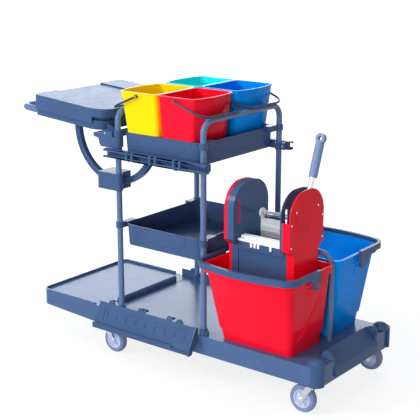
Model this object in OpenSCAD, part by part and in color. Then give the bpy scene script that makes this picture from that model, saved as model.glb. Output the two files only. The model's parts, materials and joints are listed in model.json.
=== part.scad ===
// Janitor cart with a folding bag holder, two trays, four small buckets,
// two mop buckets and a geared down-press wringer.
// Millimetres, +Z up, +X towards the mop-bucket end, -Y is the front side.

/* [Base] */
// Width of the base across the cart
deck_w = 488; // [488:1:540]
// Height of the deck's top above the floor
deck_z = 175; // [165:1:200]
// Depth of the deck moulding
deck_t = 70; // [60:1:75]
// Reach of the deck from the middle of the frames to the bucket end
deck_right = 690; // [670:1:760]
// Reach of the deck from the middle of the frames to the bag end
deck_left = 300; // [290:1:330]
// Wall of the base mouldings
base_wall = 4; // [3:0.5:6]
// Corner radius of the base
base_r = 28; // [15:1:40]
// Length of the bag platform
platform_l = 310; // [250:1:400]
// Height of the platform's rim above its floor
platform_rim = 9; // [6:1:20]
// Rise of the platform's lower edge towards its free end
platform_rise = 16; // [5:1:25]
// Height of the hook ridge above the deck
ridge_h = 22; // [15:1:30]
// Width of the hook ridge
ridge_w = 24; // [18:1:32]
// Length of the hook ridge along the cart's width
ridge_l = 330; // [250:1:380]

/* [Tool troughs] */
// Reach of a trough outside the deck
trough_out = 52; // [40:1:70]
// Height of a trough's top edge above the deck
trough_up = 24; // [15:1:35]
// Length of a trough's sloping wall
trough_l = 474; // [400:1:480]
// Length of the lip along a trough's foot
trough_lip_l = 390; // [300:1:395]
// Height of the lip
trough_lip_h = 17; // [10:1:25]
// Number of drop-shaped dimples along a trough
dimple_n = 9; // [5:1:11]

/* [End of the base] */
// Wall of a corner bumper
bumper_t = 9; // [6:0.5:12]
// Height of a corner bumper above the deck
bumper_up = 24; // [16:1:30]
// Distance between the two ears of the end trough
ear_gap = 300; // [260:1:340]
// Thickness of an ear
ear_t = 14; // [8:1:20]
// Height of the ears above the deck
ear_up = 30; // [20:1:40]

/* [Castors] */
// Diameter of a castor wheel
wheel_d = 100; // [90:1:102]
// Width of a castor wheel
wheel_w = 32; // [24:1:36]
// Trail from the swivel axis to the wheel axle
trail = 33; // [28:1:40]
// Swivel axis of the bucket-end castors, from the middle of the frames
castor_right = 655; // [630:1:665]
// Swivel axis of the bag-end castors, from the middle of the frames
castor_left = 268; // [255:1:275]
// Distance between the swivel axes across the cart
castor_w = 450; // [430:1:460]
// Diameter of a swivel stem
stem_d = 12; // [10:0.5:16]
// Diameter of a wheel axle
axle_d = 8; // [6:0.5:12]
// Thickness of the fork's sheet
fork_t = 3; // [2:0.5:4]

/* [Tube frames] */
// Distance between the two tube frames
frame_gap = 394; // [380:1:420]
// Distance between the uprights of a frame
frame_w = 458; // [440:1:458]
// Height of the frame's top bar axis
frame_h = 945; // [935:1:1000]
// Outside diameter of the tube
tube_d = 22; // [20:0.5:22]
// Wall of the tube
tube_wall = 1.5; // [1:0.25:3]
// Bend radius at the frame's corners
bend_r = 46; // [35:1:60]
// Height of the collar around each foot of a frame
socket_h = 24; // [15:1:35]
// Wall of that collar
socket_wall = 4; // [3:0.5:4]

/* [Trays] */
// Length of a tray's rim between the frames
tray_x = 366; // [350:1:370]
// Width of a tray's rim
tray_y = 450; // [440:1:456]
// Depth of a tray
tray_h = 80; // [60:1:100]
// Height of the top tray's rim
tray_top_z = 867; // [860:1:880]
// Height of the middle tray's rim
tray_mid_z = 523; // [480:1:600]
// Wall of a tray
tray_wall = 3; // [2:0.5:4]
// Taper of a tray's walls on each side
tray_taper = 5; // [3:0.5:8]
// Corner radius of a tray
tray_r = 38; // [25:1:50]
// Length of a tray clip along the rim
clip_l = 70; // [50:1:90]

/* [Tool rails] */
// Length of a tool rail
rail_l = 474; // [450:1:500]
// Height of a rail
rail_h = 32; // [26:1:40]
// Depth of a rail's channel
rail_d = 24; // [18:1:30]
// Height of a rail's middle
rail_z = 789; // [770:1:800]
// Wall of a rail
rail_wall = 3; // [2:0.5:4]

/* [Bag holder] */
// Fold axis of the bag holder, from the middle of the frames
fold_x = 252; // [245:1:260]
// Height of the fold axis
fold_z = 856; // [850:1:862]
// Upward tilt of the holder at rest
holder_tilt = 4.5; // [0:0.5:6]
// Reach of the lid from the fold axis
lid_reach = 372; // [330:1:420]
// Width of the lid
lid_w = 490; // [470:1:500]
// Height of the lid
lid_h = 58; // [45:1:60]
// Wall of the lid
lid_wall = 3; // [2.5:0.5:5]
// Corner radius of the lid beside the frames
lid_big_r = 72; // [60:1:90]
// Corner radius of the lid at its free end
lid_small_r = 20; // [12:1:30]
// Depth of the sunk panel in the lid's top
lid_panel_d = 5; // [3:0.5:8]
// Width of the sunk panel
lid_panel_w = 250; // [200:1:300]
// Height of the bag ring
ring_h = 34; // [25:1:40]
// Width of the bag ring's section
ring_b = 26; // [20:1:30]
// Diameter of the push handle's tube
push_d = 25; // [20:1:30]
// Reach of the push handle past the lid
push_reach = 95; // [70:1:110]
// Width of the push handle
push_w = 462; // [420:1:466]
// Radius of the guide arcs, at mid-section
arc_r = 190; // [182:1:195]
// Radial width of a guide arc
arc_b = 24; // [18:1:26]
// Thickness of a guide arc across the cart
arc_t = 20; // [16:1:24]
// Distance between the guide arcs' middles
arc_gap = 360; // [340:1:366]
// Sweep of the guide arcs past the lower brackets
arc_tail = 56; // [52:1:60]
// Diameter of the fold pins
fold_pin_d = 10; // [8:0.5:14]
// Diameter of the lid's hinge pin
lid_pin_d = 6; // [5:0.5:8]

/* [Small buckets] */
// Length of a small bucket's rim along the cart
pail_x = 166; // [150:1:168]
// Width of a small bucket's rim across the cart
pail_y = 222; // [200:1:224]
// Height of a small bucket
pail_h = 228; // [215:1:260]
// Wall of a small bucket
pail_wall = 2.5; // [2:0.25:4]
// Bow of the outer side at the rim
pail_bow = 14; // [6:1:16]
// Taper of the long sides from rim to base
pail_taper_y = 23; // [22:1:30]
// Taper of the outer side from rim to base
pail_taper_x = 22; // [20:1:30]
// Gap between the two rows of small buckets
pail_gap_y = 26; // [26:1:34]
// Shift of the small buckets towards the bag end
pail_shift = 8; // [0:1:8]
// Width of the rim lip of a small bucket
pail_lip = 3; // [2:0.5:4]
// Diameter of a bail's rod
bail_d = 8; // [5:0.5:8]
// Reach of a bail from its pivot
bail_reach = 136; // [125:1:140]
// Bend radius of a bail
bail_r = 48; // [35:1:60]
// Depth of a bail's pivot below the rim
bail_drop = 14; // [12:1:20]

/* [Mop buckets] */
// Length of a mop bucket's rim along the cart
big_x = 360; // [340:1:380]
// Width of a mop bucket's rim across the cart
big_y = 276; // [250:1:290]
// Length of a mop bucket's base
big_base_x = 304; // [290:1:316]
// Width of a mop bucket's base
big_base_y = 204; // [196:1:212]
// Height of a mop bucket
big_h = 290; // [270:1:300]
// Wall of a mop bucket
big_wall = 3.5; // [2.5:0.5:5]
// Middle of the mop buckets, from the middle of the frames
big_mid = 417; // [415:1:424]
// Half of the gap between the two mop buckets at the rim
big_gap = 14; // [13:1:20]
// Bow of the outer side at the rim
big_bow = 18; // [8:1:24]
// Height of the base band
band_h = 46; // [35:1:60]
// Inset of the base band
band_in = 6; // [4:1:10]
// Width of the rim lip
big_lip = 8; // [5:1:12]
// Height of the handle's band
grip_h = 22; // [16:1:26]
// Thickness of the handle's band
grip_t = 13; // [10:1:16]
// Depth of the handle's pivot below the rim
grip_drop = 34; // [28:1:40]

/* [Wringer] */
// Overall length of the wringer along the cart
wr_x = 270; // [262:1:272]
// Thickness of a side housing
wr_t = 40; // [38:1:44]
// Width of the side housings
wr_y = 208; // [200:1:212]
// Height of the housings' tops above the deck
wr_top = 567; // [555:1:590]
// Height of the housings' shoulders above the deck
wr_shoulder = 372; // [360:1:385]
// Width of the legs under the shoulders
wr_leg = 150; // [135:1:160]
// Wall of the plates and the covers
wr_wall = 4; // [3:0.5:5]
// Depth of the dark half of the left housing
left_split = 28; // [24:1:32]
// Depth of the dark half of the right housing
right_split = 11; // [9:1:14]
// Height of the jaw shaft above the deck
shaft_z = 438; // [430:1:446]
// Diameter of the jaw shaft
shaft_d = 12; // [10:0.5:13]
// Length of the rear jaw below the shaft
jaw_l = 146; // [130:1:152]
// Thickness of the rear jaw
jaw_t = 12; // [9:0.5:15]
// Lean of the lever at rest
lever_lean = 20; // [10:1:25]
// Reach of the lever from its pivot to the hang hole
lever_l = 302; // [280:1:360]
// Diameter of the lever's tube
lever_d = 22; // [18:0.5:23]
// Length of the grip
grip_l = 134; // [110:1:150]
// Diameter of the grip
grip_d = 31; // [28:0.5:34]
// Diameter of the hang hole
hang_d = 15; // [10:0.5:18]
// Wire diameter of the return spring
wire_d = 2.4; // [1.8:0.1:2.6]
// Mean radius of the return spring
coil_r = 8.2; // [8:0.1:9.5]
// Number of turns of the return spring
coil_n = 44; // [20:1:48]

/* [Divider hoop] */
// Diameter of the hoop's tube
hoop_d = 20; // [16:0.5:22]
// Height of the hoop above the deck
hoop_h = 318; // [300:1:340]
// Bend radius of the hoop
hoop_r = 48; // [35:1:60]
// Length of the hoop along the cart, between its legs
hoop_l = 330; // [310:1:340]

/* [Hidden] */
$fn = 48;
// Clearance between pieces that are fixed together
fix = 0.15;
// Radial clearance of a running pin
run = 0.05;
// Clearance between pieces that move past each other
free = 0.5;
// Clearance under a piece that can be lifted off
seat = 0.3;
// Thickness of the slabs that a tapered shell is stretched between
slab = 0.2;
fx = frame_gap / 2;
fy = frame_w / 2;
tube_r = tube_d / 2;
deck_bottom = deck_z - deck_t;
deck_half = deck_w / 2;
axle_z = wheel_d / 2;
tray_floor = tray_top_z - tray_h + tray_wall;

// Bag holder places, measured from the fold axis before the tilt
lid_right = -12;
lid_base = 22;
ring_z0 = 0;
ring_in = 8;
push_axis_x = -lid_reach - push_reach + push_d / 2;
push_axis_z = ring_z0 + push_d / 2 + 2;
push_tip = push_axis_x * cos(holder_tilt) + push_axis_z * sin(holder_tilt) - push_d / 2;
lug_y = arc_gap / 2 + arc_t / 2 + 4;
lug_t = 12;

// The origin is under the middle of the whole cart

right_end = deck_right + bumper_t;
mid_x = (right_end - fold_x + push_tip) / 2;

// Small buckets
pail_z = tray_floor + seat;
pail_rim_z = pail_z + pail_h;
pail_row = pail_gap_y / 2 + pail_y / 2;
pail_side = 2;
bail_z = pail_rim_z - bail_drop;

// Mop buckets
big_z = deck_z + seat;
big_r = 32;
big_base_r = 24;
big_pivot_y = big_gap + big_y * 0.5;
pivot_d = 12;
grip_gap = 4;

// Wringer
wr_mid_y = -big_gap - 105;
wr_left = big_mid - wr_x / 2;
wr_right = big_mid + wr_x / 2;
wr_floor = big_z + big_wall + seat;
gear_m = 2.25;
drive_teeth = 18;
jaw_teeth = 40;
gear_t = 6;
gear_gap = 1;
gear_dist = gear_m * (drive_teeth + jaw_teeth) / 2;
shaft_back = 62;
shaft_y = wr_mid_y + shaft_back;
lever_y = shaft_y - gear_dist;
lever_z = deck_z + shaft_z;
inner_left = wr_left + wr_t;
inner_right = wr_right - wr_t;
gear_x = inner_right + wr_wall + gear_gap;
lever_x = gear_x + gear_t + gear_gap + lever_d / 2;
front_wall_y = wr_mid_y - wr_leg / 2 + 2;
front_wall_t = 8;
front_jaw_t = 24;
collar_d = 34;
collar_t = 8;

// Shared shapes
module placed() translate([-mid_x, 0, 0]) children();

module front_and_rear() {
  children();
  mirror([0, 1, 0]) children();
}

module rounded(lx, ly, r) {
  square([lx - 2 * r, ly], center = true);
  square([lx, ly - 2 * r], center = true);
  for (sx = [-1, 1], sy = [-1, 1])
    translate([sx * (lx / 2 - r), sy * (ly / 2 - r)]) circle(r);
}

module rounded_block(lx, ly, h, r) linear_extrude(h) rounded(lx, ly, r);

module along_x(x0, x1, r) translate([x0, 0, 0]) rotate([0, 90, 0]) cylinder(h = x1 - x0, r = r);

module along_y(y0, y1, r) translate([0, y0, 0]) rotate([-90, 0, 0]) cylinder(h = y1 - y0, r = r);

// A quarter bend of round rod in the XY plane, from the -Y side towards +X
module bend(big, small, turn = 90) rotate_extrude(angle = turn) translate([big, 0]) circle(small);

// Base
module deck_outline(grow = 0)
  translate([(deck_right - deck_left) / 2, 0])
    rounded(deck_right + deck_left + 2 * grow, deck_w + 2 * grow, base_r + grow);

module at_castors() {
  for (sy = [-1, 1]) {
    translate([castor_right, sy * castor_w / 2, 0]) children();
    translate([-castor_left, sy * castor_w / 2, 0]) children();
  }
}

module at_feet()
  for (sx = [-1, 1], sy = [-1, 1]) translate([sx * fx, sy * fy, 0]) children();

stem_top = deck_z - base_wall - 12;
foot_z = deck_z - 46;
boss_wall = 4;
hoop_foot = deck_z - 30;

module at_hoop_feet()
  for (sx = [-1, 1]) translate([big_mid + sx * hoop_l / 2, 0, 0]) children();

// Sloped edge of the deck under the apron
end_cut = 34;

module end_slope() translate([deck_right, 0, 0]) rotate([90, 0, 0])
  linear_extrude(ear_gap - ear_t, center = true) children();

// Ribs under the deck
rib_first = -140;
rib_pitch = 200;
rib_n = 4;

module chassis() color("slategray") placed() difference() {
  intersection() {
    union() {
      difference() {
        translate([0, 0, deck_bottom]) linear_extrude(deck_t) deck_outline();
        translate([0, 0, deck_bottom - 1])
          linear_extrude(deck_t - base_wall + 1) deck_outline(-base_wall);
      }
      translate([0, 0, deck_bottom + 8]) {
        for (i = [0 : rib_n - 1]) translate([rib_first + i * rib_pitch, -deck_half, 0]) cube([base_wall, deck_w, deck_t - 10]);
        translate([-deck_left, -base_wall / 2, 0]) cube([deck_left + deck_right, base_wall, deck_t - 10]);
      }
      end_slope() polygon([[-end_cut - 8, deck_z - 1], [-end_cut, deck_z],
        [0, deck_z - end_cut], [0, deck_z - end_cut - 8]]);
      at_castors() translate([0, 0, deck_bottom]) cylinder(h = deck_t - 1, r = stem_d / 2 + 10);
      at_feet() translate([0, 0, foot_z - boss_wall])
        cylinder(h = deck_z - foot_z, r = tube_r + boss_wall);
      at_hoop_feet() translate([0, 0, hoop_foot - boss_wall])
        cylinder(h = deck_z - hoop_foot, r = hoop_d / 2 + boss_wall);
    }
    translate([0, 0, deck_bottom]) linear_extrude(deck_t) deck_outline();
  }
  at_castors() translate([0, 0, deck_bottom - 1])
    cylinder(h = stem_top - deck_bottom + 1, r = stem_d / 2 + fix);
  at_feet() translate([0, 0, foot_z]) cylinder(h = deck_t, r = tube_r + fix);
  at_hoop_feet() translate([0, 0, hoop_foot]) cylinder(h = deck_t, r = hoop_d / 2 + fix);
  translate([-deck_left + 56, -deck_half + 20, deck_z - 1.5]) cube([3, deck_w - 40, 3]);
  end_slope() polygon([[-end_cut - 1, deck_z + 1], [1, deck_z - end_cut - 1], [1, deck_z + 1]]);
}

// Bag platform, hooked over the deck's edge
tongue_in = 6;
tongue_t = 2.5;

module bag_platform() color("slategray") placed() {
  x0 = -deck_left - platform_l;
  x1 = -deck_left - fix;
  mid = (x0 + x1) / 2;
  difference() {
    intersection() {
      translate([mid, 0, 0]) linear_extrude(deck_z + platform_rim)
        union() {
          rounded(x1 - x0, deck_w, base_r);
          translate([0, -deck_half]) square([(x1 - x0) / 2, deck_w]);
        }
      rotate([90, 0, 0]) linear_extrude(deck_w + 2, center = true)
        polygon([[x0, deck_bottom + platform_rise], [x1, deck_bottom], [x1, deck_z + platform_rim],
          [x0, deck_z + platform_rim]]);
    }
    // Sunk floor, open towards the deck
    translate([mid + base_wall, 0, deck_z]) linear_extrude(platform_rim + 1)
      union() {
        rounded(x1 - x0, deck_w - 3 * base_wall, base_r - base_wall);
        translate([0, -deck_half - 1]) square([(x1 - x0) / 2 + 1, deck_w + 2]);
      }
    translate([mid, 0, -1]) rounded_block(x1 - x0 - 2 * base_wall, deck_w - 2 * base_wall,
      deck_z - base_wall + 1, base_r - base_wall);
  }
  platform_sides(x0, x1);
  // Tongue and hook ridge that lie on the deck
  ridge_x = -deck_left + 34;
  translate([x1 - tongue_in, -ridge_l / 2, deck_z - 1]) cube([tongue_in, ridge_l, 1 + seat + tongue_t]);
  translate([x1 - tongue_in, -ridge_l / 2, deck_z + seat])
    cube([ridge_x - x1 + tongue_in, ridge_l, tongue_t]);
  translate([ridge_x, -ridge_l / 2, deck_z + seat]) intersection() {
    translate([0, 0, ridge_h - ridge_w / 2]) union() {
      along_y(0, ridge_l, ridge_w / 2);
      translate([-ridge_w / 2, 0, -ridge_h]) cube([ridge_w, ridge_l, ridge_h]);
    }
    translate([-ridge_w, 0, 0]) cube([2 * ridge_w, ridge_l, 2 * ridge_h]);
  }
}

// Side rims of the platform, which stop short of the deck
module platform_sides(x0, x1) {
  stop = 20;
  front_and_rear() translate([(x0 + x1) / 2 - 1, -deck_half, deck_z - 1])
    cube([(x1 - x0) / 2 - stop, 1.5 * base_wall, platform_rim + 1]);
}

// Sloping tool troughs along both sides of the base
trough_x = -290;

trough_top = deck_z + trough_up;
trough_foot = deck_bottom + 4;
// Upper and lower edge of the sloping face, each as [y, z]
face_top = [deck_half + fix + 4, trough_top + 2];
face_low = [deck_half + trough_out - 8, trough_foot + 12];
face_slope = atan2(face_low[0] - face_top[0], face_top[1] - face_low[1]);
panel_h = 44;
panel_in = 36;
panel_d = 2;
dimple_r = 6.5;
dimple_tail_r = 4.5;
flange_t = 6;
flange_out = 5;

module trough_section(with_lip) {
  y1 = deck_half + trough_out;
  polygon([[deck_half + fix, trough_top - 30], [deck_half + fix, trough_top], face_top, face_low,
    [y1, trough_foot + 8], [y1, trough_foot], [y1 - 14, trough_foot], [deck_half + fix + 4, trough_top - 30]]);
  if (with_lip) translate([y1 - 4, trough_foot]) square([4, trough_lip_h + 4]);
}

// Flange at the end towards the buckets
module trough_flange() {
  y1 = deck_half + trough_out + flange_out;
  polygon([[deck_half + fix, trough_top - 30], [deck_half + fix, trough_top + flange_out],
    face_top + [flange_out, flange_out], [y1, trough_foot + 12], [y1, trough_foot], [y1 - 14, trough_foot]]);
}

// Sunk panel of the face, which leaves its dimples standing
module trough_panel() {
  pitch = (trough_l - 2 * panel_in - 4 * dimple_r) / (dimple_n - 1);
  difference() {
    translate([panel_in, -panel_h / 2]) square([trough_l - 2 * panel_in, panel_h]);
    for (i = [0 : dimple_n - 1]) translate([panel_in + 2 * dimple_r + i * pitch, 0]) {
      translate([0, -dimple_r / 2]) circle(dimple_r);
      translate([0, dimple_r]) circle(dimple_tail_r);
    }
  }
}

module tool_trough() difference() {
  translate([trough_x, 0, 0]) {
    rotate([90, 0, 90]) linear_extrude(trough_l) trough_section(false);
    rotate([90, 0, 90]) linear_extrude(trough_lip_l) trough_section(true);
    translate([trough_l - flange_t, 0, 0]) rotate([90, 0, 90]) linear_extrude(flange_t) trough_flange();
    // Rounded humps along the top edge
    for (x = [60, 205, 390]) translate([x, deck_half + fix + 2, trough_top]) along_y(-2, 2, 16);
  }
  translate([trough_x, (face_top[0] + face_low[0]) / 2, (face_top[1] + face_low[1]) / 2])
    rotate([-90 + face_slope, 0, 0]) translate([0, 0, -panel_d]) linear_extrude(panel_d + 1) trough_panel();
}

module tool_troughs() color("darkslategray") placed() {
  tool_trough();
  mirror([0, 1, 0]) tool_trough();
}

// Curved apron between two ears at the bucket end
apron_in = 46;
apron_up = 26;
apron_hollow = 5;
apron_top = [8 - apron_in, deck_z + apron_up];
apron_low = [bumper_t - 1, deck_z - 25];
apron_chord = norm(apron_low - apron_top);
apron_r = apron_chord * apron_chord / (8 * apron_hollow) + apron_hollow / 2;
apron_out = [apron_top[1] - apron_low[1], apron_low[0] - apron_top[0]] / apron_chord;

module ear() {
  r = apron_in / 2;
  translate([0, deck_z + ear_up - r]) circle(r);
  translate([-r, deck_z + fix]) square([2 * r, max(ear_up - r, 1)]);
}

module end_trough() color("darkslategray") placed() translate([deck_right, 0, 0]) {
  for (sy = [-1, 1]) translate([-apron_in / 2, sy * ear_gap / 2, 0]) rotate([90, 0, 0])
    linear_extrude(ear_t, center = true) intersection() {
      ear();
      translate([-apron_in, deck_z + fix]) square([2 * apron_in, ear_up + 1]);
    }
  rotate([90, 0, 0]) linear_extrude(ear_gap - ear_t - 2 * fix, center = true) difference() {
    translate([-apron_in, deck_bottom + 10])
      square([apron_in + apron_low[0], apron_top[1] - deck_bottom - 10]);
    polygon([[-apron_in - 1, deck_bottom], [-apron_in - 1, deck_z + fix], [2 * fix - end_cut, deck_z + fix],
      [fix, deck_z - end_cut + 2 * fix], [fix, deck_bottom]]);
    translate((apron_top + apron_low) / 2 + apron_out * (apron_r - apron_hollow))
      circle(apron_r, $fn = 128);
  }
}

// Rounded corner bumpers, a cap on the deck with a skirt around its corner
module corner_bumper() {
  outer = base_r + bumper_t;
  translate([deck_right - base_r, deck_half - base_r, 0]) {
    difference() {
      intersection() {
        union() {
          translate([0, 0, deck_bottom]) cylinder(h = deck_t + bumper_up - 16, r = outer);
          translate([0, 0, deck_z + bumper_up - outer]) sphere(r = outer);
        }
        translate([-outer, -outer, deck_bottom]) cube([2 * outer, 2 * outer, deck_t + bumper_up + 2]);
      }
      translate([0, 0, deck_bottom - 3]) cylinder(h = deck_t + 3 + fix, r = base_r + fix);
      translate([-outer - 1, -outer - 1, deck_bottom - 3]) cube([outer + 1, 2 * outer + 2, deck_t + 3 + fix]);
      translate([-outer - 1, -outer - 1, deck_bottom - 3]) cube([2 * outer + 2, outer + 1, deck_t + 3 + fix]);
    }
  }
}

module corner_bumpers() color("darkslategray") placed() front_and_rear() corner_bumper();

// Castors
fork_gap = 2;
crown_r = trail / 2;
leg_y = wheel_w / 2 + fork_gap;
crown_top = deck_bottom - free;
crown_low = axle_z + sqrt(axle_z * axle_z - pow(trail - crown_r, 2)) + free;
crown_t = crown_top - crown_low;

stem_head = 1.2;

module castor_stems() color("silver") placed() at_castors() {
  translate([0, 0, crown_low - seat - stem_head])
    cylinder(h = stem_top - crown_low + seat + stem_head, r = stem_d / 2);
  translate([0, 0, crown_low - seat - stem_head]) cylinder(h = stem_head, r = stem_d / 2 + 3);
}

// One castor fork, trailing towards +X from its swivel axis
module fork() {
  difference() {
    union() {
      translate([0, 0, crown_low]) cylinder(h = crown_t, r = crown_r);
      translate([-14, -leg_y - fork_t, crown_low]) cube([26, 2 * (leg_y + fork_t), crown_t - 0.5]);
    }
    translate([0, 0, crown_low - 1]) cylinder(h = crown_t + 2, r = stem_d / 2 + run);
  }
  for (sy = [-1, 1]) translate([0, sy * (leg_y + fork_t / 2), 0]) rotate([90, 0, 0])
    linear_extrude(fork_t, center = true) difference() {
      union() {
        polygon([[-14, crown_top - 1], [12, crown_top - 1], [trail + 12, axle_z],
          [trail - 12, axle_z]]);
        translate([trail, axle_z]) circle(12);
      }
      translate([trail, axle_z]) circle(axle_d / 2 + fix);
    }
  // Axle bolt with a head at each end
  translate([trail, 0, axle_z]) {
    along_y(-leg_y - fork_t - 6, leg_y + fork_t + 6, axle_d / 2);
    for (sy = [-1, 1]) translate([0, sy * (leg_y + fork_t + fix), 0]) rotate([-90 * sy, 0, 0])
      cylinder(h = 5, r = axle_d / 2 + 3, $fn = 6);
  }
}

hub_r = axle_z * 0.66;

module hub() translate([trail, 0, axle_z]) rotate([90, 0, 0]) difference() {
  rotate_extrude() polygon([[0, -wheel_w / 2], [12, -wheel_w / 2], [14, -9], [hub_r - 7, -6],
    [hub_r - 4, -wheel_w / 2 + 3], [hub_r, -wheel_w / 2 + 3], [hub_r, wheel_w / 2 - 3],
    [hub_r - 4, wheel_w / 2 - 3], [hub_r - 7, 6], [14, 9], [12, wheel_w / 2], [0, wheel_w / 2]]);
  cylinder(h = wheel_w + 2, r = axle_d / 2 + run, center = true);
}

module tyre() translate([trail, 0, axle_z]) rotate([90, 0, 0]) rotate_extrude() difference() {
  union() {
    translate([hub_r + fix, -wheel_w / 2 + 2]) square([axle_z - 6 - hub_r - fix, wheel_w - 4]);
    translate([axle_z - 14, 0]) intersection() {
      translate([-6, 0]) circle(20);
      translate([4, -wheel_w / 2 + 4]) square([10, wheel_w - 8]);
    }
  }
  translate([hub_r - 10, -wheel_w]) square([10 + fix, 2 * wheel_w]);
}

module castor_at(left, front) placed()
  translate([left ? -castor_left : castor_right, (front ? -1 : 1) * castor_w / 2, 0])
    mirror([left ? 0 : 1, 0, 0]) children();

module castor_fork(left, front) color("lightgray") castor_at(left, front) fork();
module castor_hub(left, front) color("lightsteelblue") castor_at(left, front) hub();
module castor_tyre(left, front) color("gray") castor_at(left, front) tyre();

// Tube frames
module tube_profile() difference() {
  circle(tube_r);
  circle(tube_r - tube_wall);
}

module tube_frame() {
  for (sy = [-1, 1]) translate([0, sy * fy, foot_z + fix])
    linear_extrude(frame_h - bend_r - foot_z - fix) tube_profile();
  rotate([90, 0, 0]) linear_extrude(frame_w - 2 * bend_r, center = true)
    translate([0, frame_h]) tube_profile();
  for (sy = [0, 1]) mirror([0, sy, 0]) translate([0, fy - bend_r, frame_h - bend_r]) rotate([90, 0, 90])
    rotate_extrude(angle = 90) translate([bend_r, 0]) tube_profile();
}

module left_frame() color("lightslategray") placed() translate([-fx, 0, 0]) tube_frame();
module right_frame() color("lightslategray") placed() translate([fx, 0, 0]) tube_frame();

module tube_sockets() color("darkslategray") placed() at_feet() difference() {
  union() {
    translate([0, 0, deck_z + fix]) cylinder(h = socket_h, r = tube_r + socket_wall);
    translate([-4, -5, deck_z + fix]) cube([tube_r + 14, 10, socket_h * 0.7]);
  }
  cylinder(h = frame_h, r = tube_r + fix);
}

// Divider hoop between the mop buckets
module divider_hoop() color("lightslategray") placed() translate([big_mid, 0, 0]) {
  top = deck_z + hoop_h;
  r = hoop_d / 2;
  for (sx = [-1, 1]) translate([sx * hoop_l / 2, 0, hoop_foot + fix])
    cylinder(h = top - hoop_r - hoop_foot - fix, r = r);
  translate([0, 0, top]) along_x(-hoop_l / 2 + hoop_r, hoop_l / 2 - hoop_r, r);
  for (sx = [0, 1]) mirror([sx, 0, 0])
    translate([hoop_l / 2 - hoop_r, 0, top - hoop_r]) rotate([90, 0, 0]) bend(hoop_r, r);
}

// Trays between the frames
module tray(rim_z) {
  z0 = rim_z - tray_h;
  base_x = tray_x - 2 * tray_taper;
  base_y = tray_y - 2 * tray_taper;
  difference() {
    hull($fn = 32) {
      translate([0, 0, z0]) rounded_block(base_x, base_y, slab, tray_r - tray_taper);
      translate([0, 0, rim_z - slab]) rounded_block(tray_x, tray_y, slab, tray_r);
    }
    hull($fn = 32) {
      translate([0, 0, z0 + tray_wall])
        rounded_block(base_x - 2 * tray_wall, base_y - 2 * tray_wall, slab, tray_r - tray_taper - tray_wall);
      translate([0, 0, rim_z])
        rounded_block(tray_x - 2 * tray_wall, tray_y - 2 * tray_wall, slab, tray_r - tray_wall);
    }
  }
}

module top_tray() color("darkslategray") placed() tray(tray_top_z);
module middle_tray() color("darkslategray") placed() tray(tray_mid_z);

ring_wall = 4;
clip_up = 4;
clip_down = 18;
clip_t = 18;
clip_over = 10;

// Clip that carries one corner of a tray on an upright
module tray_clip(rim_z) translate([fx, fy, rim_z]) difference() {
  gap = fx - tray_x / 2;
  union() {
    translate([0, 0, -clip_down]) cylinder(h = clip_down + clip_up, r = tube_r + ring_wall);
    translate([-gap + fix, -clip_l, -clip_down]) cube([clip_t, clip_l, clip_down + clip_up]);
    translate([-gap - clip_over, -clip_l, fix])
      cube([clip_t + clip_over, clip_l - tube_r - ring_wall, clip_up - fix]);
  }
  translate([0, 0, -clip_down - 1]) cylinder(h = clip_down + clip_up + 2, r = tube_r + fix);
}

module tray_clips() color("darkslategray") placed()
  for (rim_z = [tray_top_z, tray_mid_z], sx = [0, 1], sy = [0, 1])
    mirror([sx, 0, 0]) mirror([0, sy, 0]) tray_clip(rim_z);

// Tool rails outside the uprights
rail_y = fy + tube_r + ring_wall + 2 * fix;
rail_lip = 6;
jaw_b = 10;
jaw_gap = 26;

module tool_rail() translate([0, rail_y, rail_z]) {
  rotate([90, 0, 90]) linear_extrude(rail_l, center = true) difference() {
    translate([0, -rail_h / 2]) square([rail_d, rail_h]);
    translate([rail_wall, -rail_h / 2 + rail_wall]) square([rail_d, rail_h - 2 * rail_wall]);
  }
  rotate([90, 0, 90]) linear_extrude(rail_l, center = true) for (s = [0, 1]) mirror([0, s])
    translate([rail_d - rail_wall, rail_h / 2 - rail_wall - rail_lip]) square([rail_wall, rail_lip + 1]);
  // Gripping jaws for tool handles
  for (x = [-110, 0, 110], s = [-1, 1]) translate([x + s * jaw_gap / 2 - jaw_b / 2, 0.5, -rail_h / 2 + 0.5])
    cube([jaw_b, rail_d + 3, rail_h - 1]);
}

module tool_rails() color("slategray") placed() {
  tool_rail();
  mirror([0, 1, 0]) tool_rail();
}

clamp_h = 26;
tab_l = 18;
tab_t = 10;
screw_r = 3;

module rail_clamp() translate([fx, fy, rail_z]) difference() {
  union() {
    cylinder(h = clamp_h, r = tube_r + ring_wall, center = true);
    translate([0, -tab_t / 2, -clamp_h / 2]) cube([tube_r + tab_l, tab_t, clamp_h]);
    translate([-tube_r, 0, -clamp_h / 2]) cube([2 * tube_r, tube_r + ring_wall + fix, clamp_h]);
  }
  cylinder(h = clamp_h + 2, r = tube_r + fix, center = true);
  translate([tube_r + tab_l - 8, 0, 0]) along_y(-tab_t, tab_t, screw_r + fix);
}

module at_uprights() for (sx = [0, 1], sy = [0, 1]) mirror([sx, 0, 0]) mirror([0, sy, 0]) children();

module rail_clamps() color("darkslategray") placed() at_uprights() rail_clamp();

module clamp_screws() color("silver") placed() at_uprights()
  translate([fx + tube_r + tab_l - 8, fy, rail_z]) {
  along_y(-tab_t / 2 - 3, tab_t / 2 + fix, screw_r);
  along_y(tab_t / 2 + fix, tab_t / 2 + fix + 4, screw_r + 2.5);
}

// Brackets that carry the bag holder on the bag-end uprights
bracket_top = tray_top_z - clip_down - 3;
bracket_low = rail_z + clamp_h / 2 + 3;
bracket_out = fy + tube_r + ring_wall;
bracket_in = lug_y + lug_t / 2 + free;
arm_l = 54;

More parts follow.
